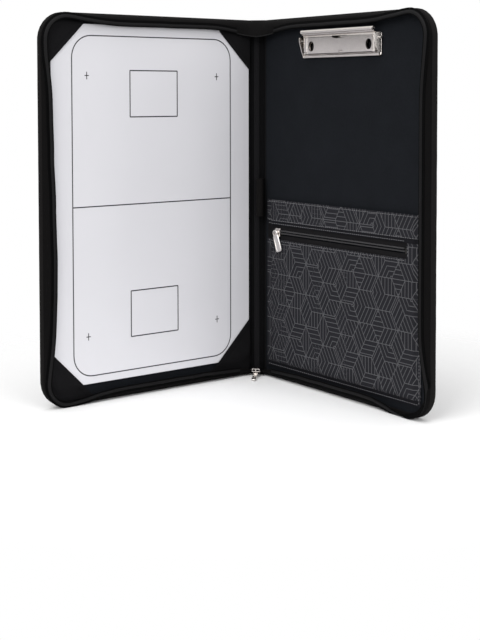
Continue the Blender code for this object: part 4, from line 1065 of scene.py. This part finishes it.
def badge_trim():
    """A plain round badge with a ring and a bar, and a plain label below it."""
    centre_u, centre_z = WIDTH - 52 * MM, HEIGHT - 57 * MM
    columns = disc_columns(centre_u, centre_z, [r * MM for r in (0.05, 8, 16, 24.4)])
    badge = outside_cloth("cover_badge", columns, BADGE, "badge_red", 0.4 * MM, ["front_badge"])
    rows = []
    for step, turn in enumerate(circle(160)):
        size = (0.95 if step % 2 else 0.8) * MM
        row = []
        for lean in circle(8):
            reach = 24.2 * MM + size * math.cos(lean)
            u, z = centre_u + reach * math.cos(turn), centre_z + reach * math.sin(turn)
            row.append(FRONT.at(u, outer_face(u, z) - 0.35 * MM - size * 0.4 * math.sin(lean), z))
        rows.append(row)
    rim = loft("cover_badge_rim", rows, BADGE_RIM, FRONT, ring=True)
    ring = outside_cloth("cover_badge_ring", disc_columns(centre_u, centre_z, [19.4 * MM, 20.6 * MM]), LABEL,
                         "label_white", 0.2 * MM, [], 0.41 * MM)
    bar = outside_cloth("cover_badge_bar",
                        rows_of(spread(centre_u - 13 * MM, centre_u + 13 * MM, 3 * MM),
                                spread(centre_z - 3 * MM, centre_z + 3 * MM, 2 * MM)),
                        BADGE_RIM, "black_cloth", 0.2 * MM, [], 0.41 * MM)
    for piece in (rim, ring, bar):
        piece.parent = badge
        piece.matrix_parent_inverse = badge.matrix_world.inverted()
    label_top = centre_z - 37.5 * MM
    label = outside_cloth("cover_label", rows_of(spread(centre_u - 24.5 * MM, centre_u + 24.5 * MM, 4 * MM),
                                                 spread(label_top - 14 * MM, label_top, 3.5 * MM)),
                          LABEL, "label_white", 0.35 * MM, ["front_name_label"])


# Zipped pocket

POCKET_U = (4.5 * MM, WIDTH - 12.5 * MM)
POCKET_LOW, POCKET_HEM = 11 * MM, 175 * MM
WINDOW_LOW, WINDOW_HIGH, WINDOW_END = 136.5 * MM, 150.5 * MM, WIDTH - 28 * MM
COIL_Z = (WINDOW_LOW + WINDOW_HIGH) / 2
SLIT_END = 17.2 * MM
SEWN, SLACK, SLOPE = 0.9, 2.3, 3.5 * MM
COIL_HEIGHT, COIL_SHIFT = 2.1, 0.6
COIL_TOOTH = [(0.45, 0.0), (0.6, 0.5), (1.05, 0.66), (1.5, 0.6), (1.85, 0.3), (1.85, -0.3), (1.5, -0.6),
              (0.9, -0.66), (0.6, -0.5)]


def pocket_face(u, z):
    """Face of the pocket cloth: flat where it is sewn, slack and rippled over the pocket."""
    on_slope = min(u - POCKET_U[0] - 6.5 * MM, POCKET_U[1] - SLOPE - u, z - POCKET_LOW - SLOPE)
    wave = 0.28 * ripple((u, z * 0.6), 32, 12.0) + 0.14 * ripple((u, z), 75, 13.0)
    return (SEWN + (SLACK + wave) * ease(on_slope / SLOPE)) * MM


def pocket_columns(u0, u1, z0, z1):
    """Rows of places over a stretch of the pocket, closer together beside its seams."""
    us = [POCKET_U[0] + x * MM for x in (0, 3.5, 6.5, 8.5, 10)] + spread(18 * MM, 212 * MM, 5 * MM)
    us += [POCKET_U[1] - x * MM for x in (3.5, 5.2, 7)]
    zs = [POCKET_LOW + x * MM for x in (3.5, 5.2, 7)]
    zs = [z for z in zs if z0 < z < z1]
    zs += [z for z in spread(25 * MM, 175 * MM, 5 * MM) if z0 + 1 * MM < z < z1 - 1 * MM]
    return rows_of(sorted({u0, u1, *(u for u in us if u0 < u < u1)}), sorted({z0, z1, *zs}))


def pocket_cloth(name, columns, node, flat, **extra):
    """One of the pocket's printed cloths, sewn down on the back cover's lining."""
    piece = cloth_grid(name, columns, PATTERN, BACK, "pattern_cloth", pocket_face, 0.55 * MM, [node], **extra)


def pocket_pieces():
    """The pocket's band, panel and side piece, its zip, and its stitches."""
    facing_top = WINDOW_HIGH + 3.9 * MM
    us = [u for u, _ in pocket_columns(*POCKET_U, POCKET_LOW, POCKET_HEM)[0]]
    pocket_cloth("pocket_band_cloth",
                 rows_of(us, [WINDOW_HIGH, facing_top, *spread(facing_top + 2 * MM, POCKET_HEM, 4 * MM)]),
                 "pocket_band", (0.217, 0.0245), second=FACING, is_second=lambda u, z: z * MM < facing_top)
    pocket_cloth("pocket_panel_cloth", pocket_columns(*POCKET_U, POCKET_LOW, WINDOW_LOW), "pocket_panel",
                 (0.217, 0.1255), second=FACING, is_second=lambda u, z: z * MM < POCKET_LOW + 4.5 * MM)
    pocket_cloth("pocket_side_cloth",
                 pocket_columns(WINDOW_END, POCKET_U[1], WINDOW_LOW, WINDOW_HIGH - 0.3 * MM),
                 "pocket_panel", (0.0155, 0.0137))
    pocket_tapes()
    pocket_coils()
    lines = []
    for z, u1 in ((POCKET_LOW + 1.8 * MM, POCKET_U[1]), (POCKET_HEM - 1.6 * MM, POCKET_U[1]),
                  (facing_top + 0.5 * MM, POCKET_U[1]),
                  (WINDOW_HIGH + 1.4 * MM, WINDOW_END), (WINDOW_LOW - 1.4 * MM, WINDOW_END)):
        lines.append([(u, z) for u in spread(POCKET_U[0] + 2 * MM, u1 - 2 * MM, 4 * MM)])
    for u, low, high, step in ((POCKET_U[1] - 1.8 * MM, POCKET_LOW, POCKET_HEM, 4 * MM),
                               (WINDOW_END + 1.4 * MM, WINDOW_LOW, WINDOW_HIGH, 3 * MM)):
        lines.append([(u, z) for z in spread(low + 2 * MM, high - 2 * MM, step)])
    places = [[(u, pocket_face(u, z) + 0.08 * MM, z) for u, z in line] for line in lines]
    stitches("pocket_stitches", BACK, places, (2.9, 2.1, 0.55), THREAD_PALE)


def tape_face(u, z):
    """Face of the pocket zip's tapes, which dip to the lining at the end by the fold."""
    share = min(max((u - 8.3 * MM) / (6.2 * MM), 0), 1)
    return (0.68 + 1.6 * share) * MM


def pocket_tapes():
    """The zip's two tapes, cut back beside the coil so that the slider can run."""
    us = [5.3 * MM, 8.3 * MM, 11 * MM, 14.5 * MM, 17.1 * MM, 17.3 * MM, *spread(23 * MM, WINDOW_END, 6 * MM)]
    nears = [0.15 * MM if u < SLIT_END else 2.6 * MM for u in us]
    for label, side, far in (("upper", 1, WINDOW_HIGH + 2.8 * MM), ("lower", -1, WINDOW_LOW - 2.8 * MM)):
        columns = [[(u, COIL_Z + side * near + (far - COIL_Z - side * near) * share)
                    for u, near in zip(us, nears)] for share in (0, 0.15, 0.5, 0.8, 1)]
        tape = cloth_grid("pocket_zip_tape_" + label, columns, SMALL_TAPE, BACK, "zip_cloth", tape_face,
                          0.38 * MM, ["pocket_tape_" + label])


def pocket_coils():
    """Two rows of small rounded teeth, set half a pitch apart."""
    pitch = 1.25 * MM
    start, stop = 19.6 * MM, WINDOW_END - 2.4 * MM
    for label, side, shift in (("upper", 1, 0.5), ("lower", -1, 1.0)):
        bm, _ = start_mesh()
        for i in range(int((stop - start) / pitch) - 1):
            centre = start + (i + shift) * pitch
            rings = [[BACK.at(centre + share * pitch, (COIL_HEIGHT + up * size) * MM,
                              COIL_Z + (COIL_SHIFT + side * across) * MM) for across, up in COIL_TOOTH]
                     for share, size in ((-0.4, 0.6), (-0.22, 1.0), (0.22, 1.0), (0.4, 0.6))]
            skin(bm, add_rows(bm, rings))
        finish_mesh("pocket_zip_coil_" + label, bm, COIL_NYLON, BACK, ["pocket_coil_" + label])


# Metal parts

PLATE_THICK = 0.9 * MM


def raw_mesh(name, rows):
    """A capped tube through closed rows of points, as an object without looks."""
    bm = bmesh.new()
    skin(bm, add_rows(bm, rows))
    return place_mesh(name, bm)


def combine(piece, others, operation):
    """Join closed tubes to a piece, or cut them out of it."""
    for rows in others:
        helper = raw_mesh("helper", rows)
        change = piece.modifiers.new("change", "BOOLEAN")
        change.object, change.operation, change.solver = helper, operation, "EXACT"
        bpy.context.view_layer.update()
        finished = bpy.data.meshes.new_from_object(piece.evaluated_get(bpy.context.evaluated_depsgraph_get()))
        piece.modifiers.clear()
        old = piece.data
        piece.data = finished
        bpy.data.meshes.remove(old)
        helper_mesh = helper.data
        bpy.data.objects.remove(helper)
        bpy.data.meshes.remove(helper_mesh)


def set_material(piece, mat):
    """Give a piece one material only."""
    piece.data.materials.clear()
    piece.data.materials.append(mat)


def metal_finish(piece, name, mat, body, replaces):
    """Name and shade a rigid metal piece, hide the CAD node it stands for, and attach it to its body."""
    piece.name = piece.data.name = name
    set_material(piece, mat)
    smooth_out(piece)
    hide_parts(replaces)
    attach(piece, body)


def between(table, x):
    """Value at x of a curve given as (x, value) points."""
    if x <= table[0][0]:
        return table[0][1]
    for (a, low), (b, high) in zip(table, table[1:]):
        if x <= b:
            return low + (high - low) * (x - a) / (b - a)
    return table[-1][1]


def metal_sheet(name, rows):
    """A metal plate about a grid of points."""
    bm = bmesh.new()
    sheet_faces(bm, *two_faces(rows, PLATE_THICK))
    return place_mesh(name, bm)


def oval(u, z, width, height):
    return [(u + width / 2 * math.cos(turn), z + height / 2 * math.sin(turn)) for turn in circle(28)]


def bores(outlines, low, high):
    """Closed tubes through (u, z) outlines on the back cover, from height low to high."""
    return [[[BACK.at(u * MM, w * MM, z * MM) for u, z in outline] for w in (low, high)]
            for outline in outlines]


BASE_U, BASE_HALF = 116.6, 54.0
LEVER_U, LEVER_HALF = 117.2, 49.4
EAR_RISE = [(311.2, 2.2), (312.2, 3.0), (313.2, 3.7), (318.0, 5.6), (324.3, 7.6), (326.0, 8.2), (328.6, 8.3),
            (329.8, 7.9), (330.9, 6.2), (331.5, 4.4)]
BASE_FLAT = [(311.2, 1.2), (311.5, 1.75), (312.0, 2.0), (313.3, 2.0), (313.7, 1.7), (314.0, 0.9),
             (314.4, 0.75)]


def clip_base():
    """Pressed base plate with a rolled lip below and an ear bent up at each end."""
    lip_zs = [311.2, 311.35, 311.6, 312, 312.6, 313.1, 313.4, 313.7, 314, 314.4]
    ear_zs = [325, 326, 327, 328.2, 329, 329.8, 330.3, 330.9, 331.5]
    rows = []
    for z in lip_zs + spread(315, 324.3, 1.2) + ear_zs:
        flat, rise = between(BASE_FLAT, z), between(EAR_RISE, z)
        foot = flat + 1.1
        ears = []
        for lean in (0.06, 0.36):
            side = []
            for share in (0, 0.2, 0.4, 0.6, 0.8, 1):
                w = rise + (foot - rise) * share if rise > foot else foot
                side.append((BASE_HALF - 0.9 - lean * (w - foot) - share * 1e-3, w))
            ears.append(side + [(BASE_HALF - inset, flat + up) for inset, up in
                                ((0.75, 0.65), (1.0, 0.25), (1.5, 0.03), (2.2, 0))])
        us = [(-reach, w) for reach, w in ears[0]]
        us += [(u, flat) for u in spread(6 - BASE_HALF, BASE_HALF - 6, 8)]
        us += [(reach, w) for reach, w in reversed(ears[1])]
        rows.append([BACK.at((BASE_U + u) * MM, w * MM, z * MM) for u, w in us])
    piece = metal_sheet("clip_base_plate", rows)
    combine(piece, bores([oval(u, 321.2, 15, 12) for u in (79.6, 159.4)], -0.5, 3), "DIFFERENCE")
    bead = [(52.7, 0.5), (54.0, 0.5), (54.0, 0.7), (53.4, 1.9), (52.7, 1.9)]
    combine(piece, [[[BACK.at((BASE_U + u) * MM, w * MM, z * MM) for u, w in bead] for z in (311.6, 330.8)]],
            "UNION")
    metal_finish(piece, "clip_base_plate", NICKEL, "back_cover", "clip_base")


def clip_lever():
    """Lever plate: a jaw lip below, a sunk-edged panel with three windows, and a rolled top edge."""
    line = [(314.1, 3.1), (314.3, 3.6), (314.6, 4.6), (314.9, 5.4), (315.3, 5.9), (315.8, 6.05)]
    line += [(z, 6.05) for z in spread(317, 330.2, 1.5)]
    line += [(330.8, 6.0), (331.2, 5.7), (331.6, 5.75), (332.0, 6.4), (332.6, 7.2)]
    for turn in (math.radians(195 - 295 * i / 14) for i in range(15)):
        line.append((334.85 + 1.5 * math.cos(turn), 8.1 + 1.5 * math.sin(turn)))
    panel_low, panel_high, panel_left, panel_right = 315.0, 331.0, -44.5, 48.0
    us = [-LEVER_HALF - 0.25, -LEVER_HALF - 0.2, -LEVER_HALF + 0.3, -LEVER_HALF + 1]
    us += [-44.9, panel_left, -44.1, -43.6, -43.0, *spread(-42, 46.2, 2.4), 47.0, 47.6, panel_right, 48.4]
    us += [LEVER_HALF - 0.3, LEVER_HALF + 0.2, LEVER_HALF + 0.25]
    rows = []
    for z, w in line:
        row = []
        inside = min(max((z - panel_low) / 0.8, 0), 1) * min(max((panel_high - z) / 0.8, 0), 1)
        for u in us:
            from_edge = min(u - panel_left, panel_right - u)
            drop = inside * (0.7 if from_edge < 0 else 1.0 if 0 < from_edge < 0.9 else 0.0)
            if u in (us[0], us[-1]):
                flange = 2.6 - 0.48 * max(z - 327, 0)
                drop += (flange if 322.5 < z < 331.5 else 0.5) * inside + 0.4
            tab = math.exp(-((u - 4.5) / 4.2) ** 2 - ((z - 314.6) / 0.9) ** 2) if z < 317 else 0.0
            row.append(BACK.at((LEVER_U + u) * MM, (w - drop + 0.9 * tab) * MM, z * MM))
        rows.append(row)
    piece = metal_sheet("clip_lever_plate", rows)
    moon_u, moon_z, moon_half = 119.8, 330.4, 11
    moon = [(moon_u + u, moon_z) for u in (-moon_half, 0, moon_half)]
    moon += [(moon_u + moon_half * math.cos(turn), moon_z - 2.6 * math.sin(turn) ** 0.7)
             for turn in (math.pi * i / 12 for i in range(1, 12))]
    cuts = [oval(79.4, 321.5, 8.0, 9.4), oval(159.6, 321.3, 8.0, 9.4), moon]
    combine(piece, bores(cuts, 4.0, 8.0), "DIFFERENCE")
    metal_finish(piece, "clip_lever_plate", NICKEL, "clip_lever", "clip_lever")


def slider_section():
    """A slider's outline across its run: two plates joined in the middle, with lips at their sides."""
    right = [(3.7, -1.7), (4.2, -1.45), (4.4, -1.0), (4.4, -0.5), (3.2, -0.5), (3.2, -1.0), (0.5, -1.0)]
    right += [(across, -up) for across, up in reversed(right)]
    return right + [(-across, up) for across, up in reversed(right)]


PULL_LEAN = math.radians(22)
PULL_DROOP = math.radians(8)
PULL_END, EYE_DOWN = 21.45, 1.84
SLIDER_U = 23.8


def zip_slider(name, place, body, node):
    """A slider with rounded ends and a bridge over it. place turns (along, across, up) into a point."""
    rows = []
    for along, wide, high in ((-4.2, 0.72, 0.94), (-4.0, 0.82, 0.97), (-3.2, 0.93, 1.0), (-1.6, 1.0, 1.0),
                              (1.0, 1.0, 1.0), (3.6, 0.97, 1.0), (4.0, 0.93, 0.97), (4.2, 0.88, 0.93)):
        rows.append([place(along, across * wide, up * high) for across, up in slider_section()])
    piece = raw_mesh(name, rows)
    path = [(-2.6, 1.45, 1.0, 0.0), (-2.6, 2.9, 1.0, 0.0), (-2.5, 3.55, 0.92, 0.38), (-2.1, 3.9, 0.7, 0.7),
            (-1.4, 4.02, 0.0, 1.0), (0.0, 4.05, 0.0, 1.0)]
    path += [(-a, up, -x, y) for a, up, x, y in reversed(path[:-1])]
    section = [(-0.75, -0.3), (-0.75, 0.25), (-0.5, 0.5), (0.5, 0.5), (0.75, 0.25), (0.75, -0.3), (0.5, -0.5),
               (-0.5, -0.5)]
    bridge = [[place(along - lean_a * out, across * (1 + 0.6 * lean_up), up + lean_up * out)
               for across, out in section] for along, up, lean_a, lean_up in path]
    combine(piece, [bridge], "UNION")
    metal_finish(piece, name, NICKEL, body, node)


def pull_row(outline, up, inset):
    """An outline drawn in by inset at one height above the pull's middle."""
    row = []
    for (down, across), before, after in zip(outline, outline[-1:] + outline, outline[1:] + outline[:1]):
        way = (Vector(after) - Vector(before)).normalized()
        row.append((down + way.y * inset, across - way.x * inset, up))
    return row


def swept(centre, reach, turns):
    """An arc of a pull's outline, for turns in degrees."""
    return [(centre[0] + reach[0] * math.cos(turn), centre[1] + reach[1] * math.sin(turn))
            for turn in map(math.radians, turns)]


def zip_pull(name, place, widths, body, node):
    """A flat pull with a rounded top, an eye and a sunk middle. place takes (down, across, up)."""
    top, waist, end, hole = (width / 2 for width in widths)
    corner = end / 2
    outline = swept((top - 0.55, 0), (-top, top), range(-90, 91, 15)) + [(5.05, top), (6.2, waist)]
    outline += swept((PULL_END - corner, corner), (corner, corner), range(90, -1, -15))
    outline += swept((PULL_END - corner, -corner), (corner, -corner), range(15, 91, 15))
    outline += [(6.2, -waist), (5.05, -top)]
    piece = raw_mesh(name, [[place(*spot) for spot in pull_row(outline, up, inset)]
                            for up, inset in ((-0.6, 0.3), (-0.35, 0.0), (0.35, 0.0), (0.6, 0.3))])
    eye = swept((2.6, 0), (-2.05, hole), range(0, 360, 20))
    tip = max(end - 2.2, 0.3)
    sunk = [(7.4, waist - 1.1), (18.5, end - 1.4), (19.8, tip), (19.8, -tip), (18.5, 1.4 - end),
            (7.4, 1.1 - waist)]
    combine(piece, [[[place(down, across, up) for down, across in hollow] for up in (low, 1)]
                    for hollow, low in ((eye, -1), (sunk, 0.4))], "DIFFERENCE")
    metal_finish(piece, name, PULL_NICKEL, body, node)


def sliders():
    """The pocket's slider and pull, and the main zip's at the bottom of the spine."""
    lean_cos, lean_sin = math.cos(PULL_LEAN), math.sin(PULL_LEAN)
    droop_cos, droop_sin = math.cos(PULL_DROOP), math.sin(PULL_DROOP)

    def pocket_place(along, across, up):
        return BACK.at((SLIDER_U + along) * MM, (COIL_HEIGHT + up) * MM, COIL_Z + across * MM)

    def pocket_pull_place(down, across, up):
        below = down - EYE_DOWN
        return BACK.at((SLIDER_U - 2.6 + across * lean_cos + below * lean_sin) * MM, (4.7 + up) * MM,
                       COIL_Z + (across * lean_sin - below * lean_cos) * MM)

    def main_place(along, across, up):
        return MIDDLE.at(across * MM, (11.1 + along) * MM, (7.0 - up) * MM)

    def main_pull_place(down, across, up):
        return MIDDLE.at(across * MM, (12.15 + down * droop_cos - up * droop_sin) * MM,
                         (4.4 - down * droop_sin - up * droop_cos) * MM)

    zip_slider("pocket_zip_slider", pocket_place, "pocket_slider", "pocket_slider")
    zip_pull("pocket_zip_pull", pocket_pull_place, (6.6, 7.8, 8.4, 4.4), "pocket_pull", "pocket_pull")
    zip_slider("main_zip_slider", main_place, "spine", "main_slider")
    zip_pull("main_zip_pull", main_pull_place, (4.6, 3.4, 4.0, 2.6), "main_pull", "main_pull")


# Camera, light and floor

EYE_PLACE = (0.1569, SPINE_Y - 1.2392, 0.2768)
EYE_YAW, EYE_PITCH, EYE_ROLL = math.radians(-8.008), math.radians(-2.883), math.radians(-0.084)


def aim_camera():
    """The photograph's view: low and slightly to the right, with the view shifted down."""
    camera = bpy.data.cameras.new("camera")
    camera.sensor_width = 36.0
    camera.lens = 71.44
    camera.shift_y = -0.2517
    camera.clip_start = 0.01
    eye = bpy.data.objects.new("camera", camera)
    eye.location = EYE_PLACE
    level = math.cos(EYE_PITCH)
    ahead = Vector((math.sin(EYE_YAW) * level, math.cos(EYE_YAW) * level, math.sin(EYE_PITCH)))
    eye.rotation_euler = ahead.to_track_quat("-Z", "Y").to_euler()
    eye.rotation_euler.rotate_axis("Z", EYE_ROLL)
    bpy.context.scene.collection.objects.link(eye)
    bpy.context.scene.camera = eye


def soft_lamp(name, place, target, size, power):
    """A wide lamp aimed at a target."""
    lamp = bpy.data.lights.new(name, "AREA")
    lamp.shape = "RECTANGLE"
    lamp.size, lamp.size_y = size
    lamp.energy = power
    holder = bpy.data.objects.new(name, lamp)
    holder.location = place
    holder.rotation_euler = (Vector(target) - Vector(place)).to_track_quat("-Z", "Y").to_euler()
    bpy.context.scene.collection.objects.link(holder)


def studio():
    """White surroundings, shown full white and lighting less strongly, with three soft lamps."""
    world = bpy.data.worlds.new("studio")
    bpy.context.scene.world = world
    world.use_nodes = True
    tree = world.node_tree
    tree.nodes.clear()
    path = add_node(tree, "ShaderNodeLightPath")
    seen = Level(tree, path.outputs["Is Camera Ray"]).to("MAXIMUM", path.outputs["Is Glossy Ray"])
    seen = seen.to("MAXIMUM", path.outputs["Is Transmission Ray"])
    light, shown = [add_node(tree, "ShaderNodeBackground", {"Color": rgb((1, 1, 1)), "Strength": strength})
                    for strength in (0.55, 1.0)]
    mixed = add_node(tree, "ShaderNodeMixShader", {0: seen, 1: light.outputs[0], 2: shown.outputs[0]})
    add_node(tree, "ShaderNodeOutputWorld", {0: mixed.outputs[0]})
    soft_lamp("key_lamp", (-0.7, -1.5, 1.5), (0, 0, 0.17), (1.2, 1.2), 22)
    soft_lamp("top_lamp", (0.0, -0.2, 1.8), (0, 0, 0), (1.6, 1.6), 14)
    soft_lamp("fill_lamp", (1.3, -1.3, 0.8), (0, 0, 0.17), (1.2, 1.2), 12)


FLOOR_NEAR, FLOOR_FAR = 0.17, 0.42


def floor():
    """A pale floor that fades into the white backdrop away from the folder."""
    mesh = bpy.data.meshes.new("floor")
    mesh.from_pydata([(-3, -3, 0), (3, -3, 0), (3, 3, 0), (-3, 3, 0)], [], [(0, 1, 2, 3)])
    piece = bpy.data.objects.new("floor", mesh)
    bpy.context.scene.collection.objects.link(piece)
    mat, tree = start_material("pale_floor", 0.9)
    shader = tree.nodes["Principled BSDF"]
    shader.inputs["Base Color"].default_value = rgb((0.92, 0.92, 0.92))
    away = add_node(tree, "ShaderNodeVectorMath", {0: object_place(tree)}, operation="LENGTH")
    fade = add_node(tree, "ShaderNodeMapRange",
                    {"Value": away.outputs["Value"], "From Min": FLOOR_NEAR, "From Max": FLOOR_FAR,
                     "To Min": 0.0, "To Max": 1.0})
    clear = add_node(tree, "ShaderNodeBsdfTransparent")
    mixed = add_node(tree, "ShaderNodeMixShader",
                     {0: fade.outputs[0], 1: shader.outputs[0], 2: clear.outputs[0]})
    tree.links.new(mixed.outputs[0], tree.nodes["Material Output"].inputs[0])
    mesh.materials.append(mat)


for panel in (FRONT, BACK):
    cover_cloths(panel)
    cover_binding(panel)
    cover_zip(panel)
spine_pieces()
for panel in (FRONT, BACK):
    fold_pieces(panel)
    zip_webs(panel)
pen_loop_piece()
court_lines()
for at_fold in (True, False):
    for at_top in (True, False):
        corner_pocket(at_fold, at_top)
outer_trim()
pocket_pieces()

clip_base()
clip_lever()
sliders()
for mat, names in ((DULL_STEEL, ("clip_rivet_left", "clip_rivet_right", "pocket_stop_fold",
                                 "pocket_stop_rim")),
                   (STEEL, ("clip_pin", "clip_spring")),
                   (CARD, ("front_stiffener", "back_stiffener", "spine_stiffener")),
                   (BOARD, ("tactics_board",))):
    for name in names:
        set_material(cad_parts[name], mat)

floor()
studio()
aim_camera()
bpy.context.scene.view_settings.view_transform = "Standard"
